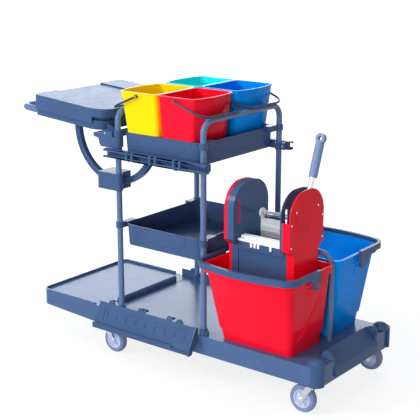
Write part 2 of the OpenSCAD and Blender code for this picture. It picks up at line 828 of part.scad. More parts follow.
module hinge_bracket() difference() {
  union() {
    translate([-fx, bracket_out - tube_r - ring_wall, bracket_low])
      cylinder(h = bracket_top - bracket_low, r = tube_r + ring_wall);
    translate([0, bracket_out, 0]) rotate([90, 0, 0]) linear_extrude(bracket_out - bracket_in) {
      polygon([[-fold_x - arm_l, fold_z - 3], [-fold_x - arm_l, fold_z - 16], [-fold_x - 30, fold_z - 22],
        [-fold_x - 24, bracket_low + 6], [-fold_x - 18, bracket_low], [-fx, bracket_low], [-fx, bracket_top],
        [-fx - tube_r - ring_wall - 2, bracket_top], [-fx - tube_r - ring_wall - 2, fold_z + 10],
        [-fold_x - 6, fold_z + 10], [-fold_x - 14, fold_z - 3]]);
      translate([-fold_x, fold_z]) circle(13);
    }
  }
  translate([-fx, fy, bracket_low - 1]) cylinder(h = tray_h, r = tube_r + fix);
  translate([-fold_x, 0, fold_z]) along_y(bracket_in - 1, bracket_out + 1, fold_pin_d / 2 + run);
}

module bag_hinge_brackets() color("slategray") placed() {
  hinge_bracket();
  mirror([0, 1, 0]) hinge_bracket();
}

guide_low = fold_z - arc_r - arc_b / 2 - 8;
guide_h = 64;
guide_l = 80;
guide_in = arc_gap / 2 - arc_t / 2 - 9;

module guide_bracket() difference() {
  union() {
    translate([-fx, fy, guide_low]) cylinder(h = guide_h, r = tube_r + ring_wall);
    translate([-fx - tube_r - guide_l, guide_in, guide_low])
      cube([guide_l + 8, bracket_out - guide_in, guide_h]);
    // Release tab
    translate([-fx - tube_r - guide_l + 10, guide_in + 20, guide_low - 12]) cube([14, 30, 14]);
  }
  translate([-fx, fy, guide_low - 1]) cylinder(h = guide_h + 2, r = tube_r + fix);
  translate([-fold_x, arc_gap / 2, fold_z]) rotate([90, 0, 0]) rotate_extrude()
    translate([arc_r, 0]) square([arc_b + 2 * free, arc_t + 2 * free], center = true);
}

module bag_guide_brackets() color("slategray") placed() {
  guide_bracket();
  mirror([0, 1, 0]) guide_bracket();
}

// Folding bag holder, drawn about its fold axis and tilted
module held() placed() translate([-fold_x, 0, fold_z]) rotate([0, holder_tilt, 0]) children();

module lid_outline(shrink = 0) {
  x0 = -lid_reach + shrink;
  x1 = lid_right - shrink;
  w = lid_w / 2 - shrink;
  rb = lid_big_r - shrink;
  rs = max(lid_small_r - shrink, 2);
  translate([x0 + rs, -w]) square([x1 - rb - x0 - rs, 2 * w]);
  translate([x0, -w + rs]) square([rs, 2 * (w - rs)]);
  translate([x1 - rb, -w + rb]) square([rb, 2 * (w - rb)]);
  for (s = [-1, 1]) {
    translate([x0 + rs, s * (w - rs)]) circle(rs);
    translate([x1 - rb, s * (w - rb)]) circle(rb);
  }
}

ring_back = 12;
knuckle_x = -30 - ring_back / 3;
knuckle_r = lid_pin_d / 2 + 4;
knuckle_z = ring_h + knuckle_r + free;
knuckle_b = 30;
knuckle_y = 105;
push_leg_y = push_w / 2 - push_d / 2;
ring_rail_y = lid_w / 2 - ring_in - ring_b / 2;
bridge_in = 20;
bag_lip_in = 14;
bag_lip_t = 4;
bag_lip_h = 12;
bag_lip_l = 150;
bag_lip_w = 95;

module bag_ring() color("slategray") held() difference() {
  union() {
    linear_extrude(ring_h) difference() {
      intersection() {
        lid_outline(ring_in);
        translate([-lid_reach, -lid_w])
          square([lid_reach + lid_right - ring_in - ring_back / 3, 2 * lid_w]);
      }
      intersection() {
        lid_outline(ring_in + ring_b);
        translate([-lid_reach, -lid_w])
          square([lid_reach + lid_right - ring_in - ring_b - ring_back / 3, 2 * lid_w]);
      }
    }
    // Lip inside the lid's corners
    translate([0, 0, ring_h - 1]) linear_extrude(bag_lip_h + 1)
      for (s = [0, 1]) mirror([0, s, 0]) intersection() {
      difference() {
        lid_outline(ring_in + bag_lip_in);
        lid_outline(ring_in + bag_lip_in + bag_lip_t);
      }
      translate([-bag_lip_l, lid_w / 2 - bag_lip_w]) square([bag_lip_l, bag_lip_w]);
    }
    for (s = [-1, 1]) {
      // Lugs on the fold axis
      translate([0, s * lug_y, 0]) rotate([90, 0, 0]) linear_extrude(lug_t, center = true) {
        circle(12);
        polygon([[0, -12], [0, 12], [-46, ring_h - 2], [-60, ring_h - 2], [-60, 2]]);
      }
      // Bridges that carry the arcs
      mirror([0, s > 0 ? 0 : 1, 0]) translate([-arc_r - arc_b / 2, arc_gap / 2 - bridge_in, 0])
        cube([arc_b, ring_rail_y - arc_gap / 2 + bridge_in, ring_h - 4]);
      // Knuckles for the lid
      translate([knuckle_x, s * knuckle_y, knuckle_z]) {
        along_y(-knuckle_b / 2, knuckle_b / 2, knuckle_r);
        translate([-knuckle_r, -knuckle_b / 2, -knuckle_z + ring_h - 1])
          cube([2 * knuckle_r, knuckle_b, knuckle_z - ring_h + 1]);
      }
    }
  }
  translate([knuckle_x, 0, knuckle_z]) along_y(-lid_w / 2, lid_w / 2, lid_pin_d / 2 + run);
  for (s = [-1, 1]) {
    translate([0, s * lug_y, 0]) along_y(-lug_t, lug_t, fold_pin_d / 2 + fix);
    translate([0, s * push_leg_y, push_axis_z])
      along_x(-lid_reach, -lid_reach + ring_in + push_seat + fix, push_d / 2 + fix);
  }
}

push_seat = 16;
push_bend = 32;

module push_handle() color("slategray") held() translate([0, 0, push_axis_z]) {
  r = push_d / 2;
  leg_end = -lid_reach + ring_in + push_seat;
  for (s = [-1, 1]) translate([0, s * push_leg_y, 0]) along_x(push_axis_x + push_bend, leg_end, r);
  translate([push_axis_x, 0, 0]) along_y(-push_leg_y + push_bend, push_leg_y - push_bend, r);
  for (s = [0, 1]) mirror([0, s, 0]) translate([push_axis_x + push_bend, push_leg_y - push_bend, 0])
    rotate([0, 0, 90]) bend(push_bend, r);
}

module bag_arcs() color("slategray") held()
  for (s = [-1, 1]) translate([0, s * arc_gap / 2, 0]) rotate([90, 0, 0]) rotate([0, 0, 180 + fix])
    rotate_extrude(angle = 90 + arc_tail + holder_tilt) difference() {
      translate([arc_r, 0]) square([arc_b, arc_t], center = true);
      for (t = [-1, 1]) translate([arc_r, t * arc_t / 2]) square([5, 4], center = true);
    }

module bag_hinge_pins() color("silver") held()
  for (s = [0, 1]) mirror([0, s, 0]) {
    along_y(lug_y - lug_t / 2, bracket_out - 2, fold_pin_d / 2);
    along_y(lug_y - lug_t / 2 - 4, lug_y - lug_t / 2 - fix, fold_pin_d / 2 + 3);
  }

// Lid over the bag ring
lid_cut = 48;
rib_t = 4;

module bag_lid() color("slategray") held() difference() {
  top = lid_base + lid_h;
  union() {
    difference() {
      translate([0, 0, lid_base]) linear_extrude(lid_h) lid_outline();
      translate([0, 0, lid_base - 1])
        linear_extrude(lid_h - lid_wall - lid_panel_d + 1) lid_outline(lid_wall);
      for (s = [0, 1]) mirror([0, s, 0])
        translate([0, 0, lid_base]) linear_extrude(lid_h - lid_wall) intersection() {
        lid_outline(lid_wall);
        translate([-lid_reach, lid_panel_w / 2 + lid_wall]) square([lid_reach, lid_w]);
      }
      translate([-lid_reach - 1, -lid_panel_w / 2, top - lid_panel_d])
        cube([lid_reach + 2, lid_panel_w, lid_panel_d + 1]);
    }
    for (s = [-1, 1]) {
      // Ribs that rest on the ring
      translate([-lid_reach + ring_in + 6, s * 140 - rib_t / 2, ring_h + seat])
        cube([ring_b - 8, rib_t, top - ring_h - lid_wall]);
      // Hinge lugs on both sides of each knuckle
      for (t = [-1, 1]) translate([knuckle_x, s * knuckle_y + t * (knuckle_b / 2 + free + 5), knuckle_z]) {
        along_y(-5, 5, knuckle_r);
        translate([-knuckle_r, -5, 0]) cube([2 * knuckle_r, 10, top - knuckle_z - lid_wall + 0.5]);
      }
    }
  }
  // Room for the ring when the lid swings up
  translate([-66, -lid_w, lid_base - 1]) linear_extrude(lid_cut - lid_base + 1) difference() {
    square([80, 2 * lid_w]);
    for (s = [-1, 1], t = [-1, 1]) translate([66 + knuckle_x - knuckle_r - 1,
      lid_w + s * knuckle_y + t * (knuckle_b / 2 + free + 5) - 5.5]) square([2 * knuckle_r + 2, 11]);
  }
  translate([knuckle_x, 0, knuckle_z]) along_y(-lid_w / 2, lid_w / 2, lid_pin_d / 2 + fix);
  for (s = [-1, 1]) translate([-lid_reach - 1, s * push_leg_y - push_d / 2 - 2, lid_base - 1])
    cube([12, push_d + 4, push_axis_z + push_d / 2 - lid_base + 4]);
}

module lid_hinge_pin() color("silver") held() for (s = [-1, 1])
  translate([knuckle_x, s * knuckle_y, knuckle_z])
  along_y(-knuckle_b / 2 - free - 10, knuckle_b / 2 + free + 10, lid_pin_d / 2);

// Rim outline of a bucket: a rounded rectangle whose +X side is bowed
module bowed(lx, ly, r, bow, grow = 0) {
  half = ly / 2 - r;
  big = half * half / (2 * bow) + bow / 2;
  translate([-grow, -ly / 2 - grow]) translate([r + grow, 0]) square([lx - 2 * r, ly + 2 * grow]);
  translate([-grow, -half]) square([lx + 2 * grow, 2 * half]);
  for (x = [r, lx - r], s = [-1, 1]) translate([x, s * half]) circle(r + grow);
  intersection() {
    translate([lx + bow - big, 0]) circle(big + grow, $fn = 128);
    translate([lx - r, -half - 0.6 * grow]) square([r + bow + grow, 2 * half + 1.2 * grow]);
  }
}

// Small bucket with its straight side at x = 0 and its bowed side towards +X
pail_r = 16;
pail_base_in = 3;
bail_x = pail_x / 2;
bail_pin_r = 3;
arm_y = pail_y / 2 + pail_lip + 0.7 + bail_d / 2;

module pail_base(shrink)
  translate([pail_base_in + shrink, -(pail_y / 2 - pail_taper_y - shrink)])
    translate([(pail_x - pail_taper_x - pail_base_in) / 2 - shrink, pail_y / 2 - pail_taper_y - shrink])
      rounded(pail_x - pail_taper_x - pail_base_in - 2 * shrink,
        pail_y - 2 * pail_taper_y - 2 * shrink, pail_r - 3);

module pail() {
  difference() {
    union() {
      hull($fn = 32) {
        linear_extrude(slab) pail_base(0);
        translate([0, 0, pail_h - slab]) linear_extrude(slab) bowed(pail_x, pail_y, pail_r, pail_bow);
      }
      translate([0, 0, pail_h - 4]) linear_extrude(4) bowed(pail_x, pail_y, pail_r, pail_bow, pail_lip);
    }
    hull($fn = 32) {
      translate([0, 0, pail_wall]) linear_extrude(slab) pail_base(pail_wall);
      translate([0, 0, pail_h]) linear_extrude(slab) bowed(pail_x, pail_y, pail_r, pail_bow, -pail_wall);
    }
  }
  for (s = [0, 1]) mirror([0, s, 0]) translate([bail_x, 0, pail_h - bail_drop])
    along_y(pail_y / 2 - pail_wall, arm_y + bail_d / 2 + 1, bail_pin_r);
}

// Distance from a bail's pivot to the top bar that it rests on
function bar_dx(left) = fx + (left ? -1 : 1) * pail_shift - pail_side - pail_lip - bail_x;
function bail_angle(left) = atan2(bail_z - frame_h, bar_dx(left))
  - asin((tube_r + bail_d / 2 + seat) / norm([bar_dx(left), bail_z - frame_h]));

module bail() {
  r = bail_d / 2;
  for (s = [-1, 1]) translate([0, s * arm_y, 0]) {
    difference() {
      union() {
        along_y(-r, r, bail_pin_r + 3);
        along_x(bail_pin_r, bail_reach - bail_r, r);
      }
      along_y(-bail_d, bail_d, bail_pin_r + run);
    }
  }
  translate([bail_reach, 0, 0]) along_y(-arm_y + bail_r, arm_y - bail_r, r);
  for (s = [0, 1]) mirror([0, s, 0]) translate([bail_reach - bail_r, arm_y - bail_r, 0]) bend(bail_r, r);
}

module pail_at(left, front) placed() translate([-pail_shift, (front ? -1 : 1) * pail_row, pail_z])
  mirror([left ? 1 : 0, 0, 0]) translate([pail_side + pail_lip, 0, 0]) children();

module bail_at(left, front) placed()
  translate([-pail_shift + (left ? -1 : 1) * (pail_side + pail_lip + bail_x),
    (front ? -1 : 1) * pail_row, bail_z])
    rotate([0, 0, left ? 180 : 0]) rotate([0, bail_angle(left), 0]) bail();

module yellow_pail() color("gold") pail_at(true, true) pail();
module red_pail() color("crimson") pail_at(false, true) pail();
module green_pail() color("turquoise") pail_at(true, false) pail();
module blue_pail() color("dodgerblue") pail_at(false, false) pail();
module yellow_bail() color("dimgray") bail_at(true, true);
module red_bail() color("dimgray") bail_at(false, true);
module green_bail() color("dimgray") bail_at(true, false);
module blue_bail() color("dimgray") bail_at(false, false);

// Mop bucket, drawn with its straight side at x = 0 and then turned to face the side of the cart
big_back_in = 6;
lip_h = 26;

module big_outline(t, shrink) {
  lx = big_base_y + t * (big_y - big_base_y);
  ly = big_base_x + t * (big_x - big_base_x);
  back = (1 - t) * big_back_in;
  translate([back + shrink, 0])
    bowed(lx - 2 * shrink, ly - 2 * shrink, big_base_r + t * (big_r - big_base_r) - shrink,
    2 + t * (big_bow - 2));
}

module big_bucket() {
  t = band_h / big_h;
  difference() {
    union() {
      hull($fn = 32) {
        linear_extrude(slab) big_outline(0, band_in);
        translate([0, 0, band_h]) linear_extrude(slab) big_outline(t, band_in);
      }
      hull($fn = 32) {
        translate([0, 0, band_h]) linear_extrude(slab) big_outline(t, 0);
        translate([0, 0, big_h - slab]) linear_extrude(slab) big_outline(1, 0);
      }
      translate([0, 0, big_h - lip_h]) linear_extrude(lip_h) intersection() {
        bowed(big_y, big_x, big_r, big_bow, big_lip);
        translate([-big_gap + hoop_d / 2 + 2, -big_x]) square([big_y * 2, big_x * 2]);
      }
    }
    hull($fn = 32) {
      translate([0, 0, big_wall]) linear_extrude(slab) big_outline(0, band_in + big_wall);
      translate([0, 0, big_h]) linear_extrude(slab) big_outline(1, big_wall);
    }
  }
  // Pivot pins of the handle
  for (s = [0, 1]) mirror([0, s, 0]) translate([big_pivot_y - big_gap, 0, big_h - grip_drop]) {
    along_y(big_x / 2 - 12, big_x / 2 + big_lip + grip_gap + grip_t + 1, pivot_d / 2);
    along_y(big_x / 2 - 12, big_x / 2 + big_lip, pivot_d / 2 + 5);
  }
}

grip_low = 9;
lobe_r = 19;
lobe_fillet = 22;

// Handle of a mop bucket, a band around the outer half of the rim
module big_handle() {
  inner = big_lip + grip_gap;
  from = big_pivot_y - big_gap;
  translate([0, 0, big_h - grip_low]) linear_extrude(grip_h) difference() {
    bowed(big_y, big_x, big_r, big_bow, inner + grip_t);
    bowed(big_y, big_x, big_r, big_bow, inner);
    translate([-big_y, -big_x]) square([big_y + from - lobe_r + 1, 2 * big_x]);
  }
  for (s = [0, 1]) mirror([0, s, 0]) difference() {
    union() {
      translate([from - lobe_r, big_x / 2 + inner, big_h - grip_drop])
        cube([2 * lobe_r, grip_t, grip_drop - grip_low + grip_h]);
      translate([from, 0, big_h - grip_drop]) along_y(big_x / 2 + inner, big_x / 2 + inner + grip_t, lobe_r);
      translate([from + lobe_r - 1, big_x / 2 + inner + grip_t, big_h - grip_low]) rotate([90, 0, 0])
        linear_extrude(grip_t) polygon([[0, 1], [lobe_fillet, 1], [lobe_fillet, 0], [0, -lobe_fillet]]);
    }
    translate([from, 0, big_h - grip_drop]) along_y(0, big_x, pivot_d / 2 + run);
  }
}

module big_at(front) placed() translate([big_mid, (front ? -1 : 1) * big_gap, big_z])
  rotate([0, 0, front ? -90 : 90]) children();

module red_bucket() color("crimson") big_at(true) big_bucket();
module blue_bucket() color("dodgerblue") big_at(false) big_bucket();
module red_handle() color("darkslategray") big_at(true) big_handle();
module blue_handle() color("darkslategray") big_at(false) big_handle();

// Wringer side outline in the YZ plane
arch_r = 88;
shoulder_d = 22;

module wr_outline(grow = 0) {
  half = wr_y / 2 + grow;
  r = arch_r + grow;
  top = deck_z + wr_top + grow;
  low = deck_z + wr_shoulder - grow;
  leg = wr_leg / 2 + grow;
  translate([wr_mid_y, 0]) {
    translate([-half, low]) square([2 * half, top - r - low]);
    translate([-half + r, low]) square([2 * (half - r), top - low]);
    for (s = [-1, 1]) translate([s * (half - r), top - r]) circle(r);
    polygon([[-half, low], [half, low], [leg, low - shoulder_d], [-leg, low - shoulder_d]]);
    translate([-leg, wr_floor]) square([2 * leg, low - wr_floor]);
  }
}

module in_yz(x, t) translate([x, 0, 0]) rotate([90, 0, 90]) linear_extrude(t) children();

slot_in = 34;
slot_up = 430;
slot_y = wr_mid_y - wr_y / 2 + slot_in;
slot_z = deck_z + slot_up;
slot_l = 72;
slot_r = 7;
slot_depth = 2;
screw_hole_r = 2;
screw_head_r = 3.6;
screw_head_t = 1.6;

module plate_slot(r) {
  for (s = [0, 1]) translate([slot_y, slot_z + s * slot_l]) circle(r);
  translate([slot_y - r, slot_z]) square([2 * r, slot_l]);
}

trunnion_r = 8;

module shaft_hole(gap) translate([shaft_y, lever_z]) circle(shaft_d / 2 + gap);
module lever_hole(gap) translate([lever_y, lever_z]) circle(trunnion_r + gap);

// The covers end above the narrow foot of the bucket
cover_low = big_z + band_h + 20;

module cover_outline(grow) intersection() {
  wr_outline(grow);
  translate([wr_mid_y - wr_y, cover_low]) square([2 * wr_y, 2 * wr_top]);
}

lever_travel = 85;

// Wedge that the lever sweeps through, with room on both sides
module lever_sweep() {
  reach = 400;
  side = lever_d / 2 + 3;
  a0 = 90 - lever_lean;
  a1 = a0 + lever_travel;
  translate([lever_y, lever_z]) polygon([[side * sin(a0), -side * cos(a0)],
    [reach * cos(a0) + side * sin(a0), reach * sin(a0) - side * cos(a0)],
    [reach * 1.4 * cos((a0 + a1) / 2), reach * 1.4 * sin((a0 + a1) / 2)],
    [reach * cos(a1) - side * sin(a1), reach * sin(a1) + side * cos(a1)],
    [-side * sin(a1), side * cos(a1)]]);
}

// Dark half of a side housing: a plate with a skirt along its edge, drawn outwards from x = 0
module housing(with_lever, split) difference() {
  union() {
    in_yz(0, wr_wall) wr_outline();
    in_yz(0, split) difference() {
      cover_outline(0);
      wr_outline(-wr_wall);
    }
  }
  in_yz(-1, wr_wall + 2) {
    shaft_hole(run);
    plate_slot(slot_r);
    if (with_lever) lever_hole(run);
  }
  if (with_lever) in_yz(wr_wall, wr_t) lever_sweep();
}

module wringer_plates() color("darkslategray") placed() {
  translate([inner_right, 0, 0]) housing(true, right_split);
  translate([inner_left, 0, 0]) mirror([1, 0, 0]) housing(false, left_split);
}

screw_low_up = 12;
screw_mid_up = 90;
screw_edge = 9;
screw_top_drop = 66;
screw_top_y = 66;
// Height and distance from the middle of each pair of cover screws
screw_levels = [
  [wr_shoulder + screw_low_up, wr_y / 2 - screw_edge],
  [wr_shoulder + screw_mid_up, wr_y / 2 - screw_edge],
  [wr_top - screw_top_drop, screw_top_y]
];
function screw_places() = [for (s = [-1, 1], at = screw_levels) [wr_mid_y + s * at[1], deck_z + at[0]]];

// Red half of a side housing, drawn outwards from the seam at x = 0
module cover_shape(with_lever, split) {
  t = wr_t - split - fix;
  difference() {
    in_yz(0, t) cover_outline(0);
    in_yz(-1, t - wr_wall + 1) wr_outline(-wr_wall);
    in_yz(t - slot_depth, slot_depth + 1) plate_slot(slot_r);
    in_yz(-1, t + 2) for (p = screw_places()) translate(p) circle(screw_hole_r + fix);
    if (with_lever) {
      in_yz(-1, t - wr_wall + 1) lever_sweep();
      in_yz(-1, t + 2) lever_hole(run);
    }
  }
  // Boss that shows in the slot of the plate
  if (!with_lever) in_yz(slot_depth - split - fix, wr_t - slot_depth - wr_wall + 1) plate_slot(slot_r - free);
}

module wringer_covers() color("crimson") placed() {
  translate([inner_right + right_split + fix, 0, 0]) cover_shape(true, right_split);
  translate([inner_left - left_split - fix, 0, 0]) mirror([1, 0, 0]) cover_shape(false, left_split);
}

module cover_screw() rotate([0, 90, 0]) {
  translate([0, 0, fix]) cylinder(h = screw_head_t, r = screw_head_r);
  translate([0, 0, 1 - wr_wall]) cylinder(h = wr_wall - 1 + fix, r = screw_hole_r);
}

module cover_screws() color("silver") placed() for (p = screw_places()) {
  translate([wr_right, p[0], p[1]]) cover_screw();
  translate([wr_left, p[0], p[1]]) mirror([1, 0, 0]) cover_screw();
}

wall_up = 240;
wall_low = deck_z + wall_up;
wall_top = deck_z + wr_shoulder - 2;
wall_bead = 6;
wall_ledge = 30;
wall_foot_h = 46;
wall_foot_w = 24;
front_jaw_l = 86;
front_jaw_up = 16;
hook_t = 8;
finger_t = 4.8;
finger_w = 9;
finger_l = 18;

module front_wall() color("slategray") placed() {
  x0 = inner_left + fix;
  l = inner_right - inner_left - 2 * fix;
  translate([x0, front_wall_y, wall_low]) cube([l, front_wall_t, wall_top - wall_low]);
  for (x = [x0, x0 + l - wall_foot_w]) translate([x, front_wall_y, wall_low - wall_foot_h])
    cube([wall_foot_w, front_wall_t, wall_foot_h + 2]);
  translate([x0, front_wall_y - wall_bead, wall_top - wall_ledge])
    cube([l, front_wall_t + wall_bead, wall_ledge]);
}

// Front jaw, hooked over the front wall
module front_jaw() color("white") placed() {
  y0 = front_wall_y + front_wall_t + seat;
  x0 = inner_left + 4;
  l = inner_right - inner_left - 8;
  front = front_wall_y - wall_bead - finger_t - seat;
  translate([x0, y0, wall_top - front_jaw_l]) cube([l, front_jaw_t, front_jaw_up + front_jaw_l]);
  translate([x0, front, wall_top + fix]) cube([l, y0 - front + 1, hook_t]);
  for (x = [0.28, 0.36, 0.44, 0.72])
    translate([x0 + x * l, front, wall_top - finger_l + 2]) cube([finger_w, finger_t, finger_l]);
}

// Rear jaw, fixed on the jaw shaft
module rear_jaw() color("white") placed() translate([0, shaft_y, lever_z]) difference() {
  union() {
    for (x = [inner_left + 1, inner_right - 1 - collar_t]) translate([x, 0, 0]) {
      along_x(0, collar_t, collar_d / 2);
      translate([0, -jaw_t / 2, -jaw_l]) cube([collar_t, jaw_t, jaw_l]);
    }
    translate([inner_left + 1, -jaw_t / 2, -jaw_l])
      cube([inner_right - inner_left - 2, jaw_t, jaw_l - collar_d / 2 - 2]);
    // Pressing ribs
    for (i = [0 : 5]) translate([inner_left + 8, -jaw_t / 2 - 4, -jaw_l + 8 + i * 18])
      cube([inner_right - inner_left - 16, 5, 7]);
  }
  along_x(0, deck_right, shaft_d / 2 + fix);
}

module jaw_shaft() color("silver") placed() translate([0, shaft_y, lever_z])
  along_x(inner_left - wr_wall - 8, gear_x + gear_t + 5, shaft_d / 2);

// Involute gear outline about the origin, with one tooth on the +X axis
backlash = 0.5;
pressure = 20;

function involute(base, a) =
  [base * (cos(a) + a * PI / 180 * sin(a)), base * (sin(a) - a * PI / 180 * cos(a))];
function involute_angle(base, r) = acos(base / r);
function roll(base, r) = tan(involute_angle(base, r)) * 180 / PI;
function flank(base, r0, r1, steps = 5) =
  [for (i = [0 : steps]) involute(base, roll(base, r0 + (r1 - r0) * i / steps))];
function turned(p, a) = [p[0] * cos(a) - p[1] * sin(a), p[0] * sin(a) + p[1] * cos(a)];

module gear_tooth(teeth) {
  pitch_r = gear_m * teeth / 2;
  base = pitch_r * cos(pressure);
  tip = pitch_r + 0.9 * gear_m;
  root = pitch_r - 1.25 * gear_m;
  half = 90 / teeth + roll(base, pitch_r) - pressure - backlash / pitch_r * 90 / PI;
  right = [for (p = flank(base, max(base + 0.01, root), tip)) turned(p, -half)];
  left = [for (i = [len(right) - 1 : -1 : 0]) [right[i][0], -right[i][1]]];
  polygon(concat([[root - 2, right[0][1]]], right, left, [[root - 2, -right[0][1]]]));
}

module gear_outline(teeth, from, to) {
  for (i = [from : to]) rotate(i * 360 / teeth) gear_tooth(teeth);
  circle(gear_m * teeth / 2 - 1.25 * gear_m);
}

// Sector gear on the jaw shaft, its teeth towards the lever
module jaw_gear() color("gray") placed() in_yz(gear_x, gear_t) translate([shaft_y, lever_z]) difference() {
  rotate(180) intersection() {
    gear_outline(jaw_teeth, -7, 7);
    union() {
      circle(17);
      polygon([[0, -14], [60, -62], [60, 62], [0, 14]]);
    }
  }
  circle(shaft_d / 2 + fix);
}

// Pinion of the lever with its trunnion and the spigot that carries the tube
module drive_gear() color("gray") placed() translate([0, lever_y, lever_z]) {
  in_yz(gear_x, gear_t) rotate(180 / drive_teeth) gear_outline(drive_teeth, 0, drive_teeth - 1);
  along_x(inner_right + seat, wr_right - 1, trunnion_r);
  along_x(gear_x, lever_x + lever_d / 2, 13);
  translate([lever_x, 0, 0]) rotate([-lever_lean, 0, 0])
    cylinder(h = 62, r = lever_d / 2 - lever_wall - fix);
}

lever_wall = 2;
lever_start = 15;

module on_lever() placed() translate([lever_x, lever_y, lever_z]) rotate([-lever_lean, 0, 0]) children();

module lever_tube() color("gainsboro") on_lever() translate([0, 0, lever_start]) difference() {
  cylinder(h = lever_l - 24 - lever_start, r = lever_d / 2);
  translate([0, 0, -1]) cylinder(h = lever_l, r = lever_d / 2 - lever_wall);
}

eye_d = 36;
eye_t = 16;

module lever_grip() color("slategray") on_lever() difference() {
  union() {
    translate([0, 0, lever_l - grip_l]) cylinder(h = grip_l - 14, r = grip_d / 2);
    translate([0, 0, lever_l]) rotate([90, 0, 0]) cylinder(h = eye_t, r = eye_d / 2, center = true);
  }
  translate([0, 0, lever_l]) rotate([90, 0, 0]) cylinder(h = 2 * eye_d, r = hang_d / 2, center = true);
  translate([0, 0, lever_l - grip_l - 1]) cylinder(h = grip_l - 23 + fix, r = lever_d / 2 + fix);
}

// Return spring: one unbroken helix around the shaft with a short straight end at each side
spring_x0 = inner_left + 1 + collar_t + seat;
spring_x1 = inner_right - 1 - collar_t - seat;
coil_rings = 8;
coil_sides = 6;
coil_x0 = spring_x0 + wire_d;
coil_x1 = spring_x1 - wire_d;
coil_pitch = (coil_x1 - coil_x0) / coil_n;

function coil_point(i) = [coil_x0 + i * coil_pitch / coil_rings, coil_r * cos(i * 360 / coil_rings),
  coil_r * sin(i * 360 / coil_rings)];
coil_path = concat([[spring_x0, coil_r, 0]], [for (i = [0 : coil_n * coil_rings]) coil_point(i)],
  [[spring_x1, coil_r, 0]]);
coil_gap = min([for (i = [1 : coil_n * coil_rings - coil_rings])
  norm(coil_path[i + coil_rings] - coil_path[i])]) - wire_d;
echo(least_gap_of_return_spring = coil_gap);

function unit(v) = v / norm(v);
function tangent(path, i) = unit(path[min(i + 1, len(path) - 1)] - path[max(i - 1, 0)]);
// Section axes: outward from the shaft, and square to it and to the wire
function out_of(p) = unit([0, p[1], p[2]]);
function ring_points(path, i, r, sides) =
  let (t = tangent(path, i), o = unit(out_of(path[i]) - t * (t * out_of(path[i]))), b = cross(t, o))
  [for (k = [0 : sides - 1]) path[i] + r * (cos(k * 360 / sides) * o + sin(k * 360 / sides) * b)];

module tube_along(path, r, sides) {
  n = len(path);
  points = [for (i = [0 : n - 1]) each ring_points(path, i, r, sides)];
  faces = concat(
    [for (k = [1 : sides - 2]) [0, k, k + 1]],
    [for (k = [1 : sides - 2]) [(n - 1) * sides, (n - 1) * sides + k + 1, (n - 1) * sides + k]],
    [for (i = [0 : n - 2], k = [0 : sides - 1]) each
      let (a = i * sides + k, b = i * sides + (k + 1) % sides, c = a + sides, d = b + sides)
        [[a, c, b], [b, c, d]]]);
  polyhedron(points, faces);
}

module return_spring() color("silver") placed() translate([0, shaft_y, lever_z])
  tube_along(coil_path, wire_d / 2, coil_sides);

chassis();
bag_platform();
tool_troughs();
end_trough();
corner_bumpers();
left_frame();
right_frame();
tube_sockets();
top_tray();
middle_tray();
tray_clips();
tool_rails();
rail_clamps();
clamp_screws();
divider_hoop();
bag_hinge_brackets();
bag_guide_brackets();
castor_stems();
bag_ring();
push_handle();
bag_arcs();
bag_hinge_pins();
bag_lid();
lid_hinge_pin();
castor_fork(true, true);  // front_left_fork
castor_hub(true, true);  // front_left_hub
castor_tyre(true, true);  // front_left_tyre
castor_fork(false, true);  // front_right_fork
castor_hub(false, true);  // front_right_hub
castor_tyre(false, true);  // front_right_tyre
castor_fork(true, false);  // rear_left_fork
castor_hub(true, false);  // rear_left_hub
castor_tyre(true, false);  // rear_left_tyre
castor_fork(false, false);  // rear_right_fork
castor_hub(false, false);  // rear_right_hub
castor_tyre(false, false);  // rear_right_tyre
yellow_pail();
yellow_bail();
red_pail();
red_bail();
green_pail();
green_bail();
blue_pail();
blue_bail();
red_bucket();
red_handle();
blue_bucket();
blue_handle();
wringer_plates();
wringer_covers();
cover_screws();
front_wall();
front_jaw();
rear_jaw();
jaw_shaft();
jaw_gear();
return_spring();
lever_tube();
lever_grip();
drive_gear();
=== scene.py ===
"""Looks of a janitor cart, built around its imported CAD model."""
import json
import math

import bmesh
import bpy
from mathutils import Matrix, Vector
from mathutils.bvhtree import BVHTree


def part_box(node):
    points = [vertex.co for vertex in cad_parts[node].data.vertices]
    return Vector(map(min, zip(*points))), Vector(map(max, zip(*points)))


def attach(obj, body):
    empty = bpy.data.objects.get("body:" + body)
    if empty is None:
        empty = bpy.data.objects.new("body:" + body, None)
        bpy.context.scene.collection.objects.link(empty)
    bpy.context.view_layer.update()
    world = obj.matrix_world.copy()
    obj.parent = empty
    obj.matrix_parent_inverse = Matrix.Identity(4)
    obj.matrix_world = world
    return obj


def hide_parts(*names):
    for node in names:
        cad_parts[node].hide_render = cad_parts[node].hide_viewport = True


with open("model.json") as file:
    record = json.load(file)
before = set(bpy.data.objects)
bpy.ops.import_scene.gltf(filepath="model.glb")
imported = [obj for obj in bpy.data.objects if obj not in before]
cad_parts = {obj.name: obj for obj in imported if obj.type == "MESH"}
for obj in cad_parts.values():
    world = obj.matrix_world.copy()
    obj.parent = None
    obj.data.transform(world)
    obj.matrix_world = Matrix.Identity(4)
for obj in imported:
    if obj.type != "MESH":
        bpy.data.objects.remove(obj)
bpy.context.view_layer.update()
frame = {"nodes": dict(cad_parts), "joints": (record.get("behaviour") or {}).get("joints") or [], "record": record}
NODES = frame["nodes"]
SLOT_OF = {part["node"]: part["material_slot"] for part in frame["record"]["subparts"]}
MM = 0.001


def linear(r, g, b):
    """Linear colour of an sRGB colour given from 0 to 255."""
    def one(c):
        c = c / 255
        return c / 12.92 if c <= 0.04045 else ((c + 0.055) / 1.055) ** 2.4
    return (one(r), one(g), one(b), 1.0)


# Node helpers

def new_material(name):
    mat = bpy.data.materials.new(name)
    mat.use_nodes = True
    tree = mat.node_tree
    return mat, tree, tree.nodes["Principled BSDF"]


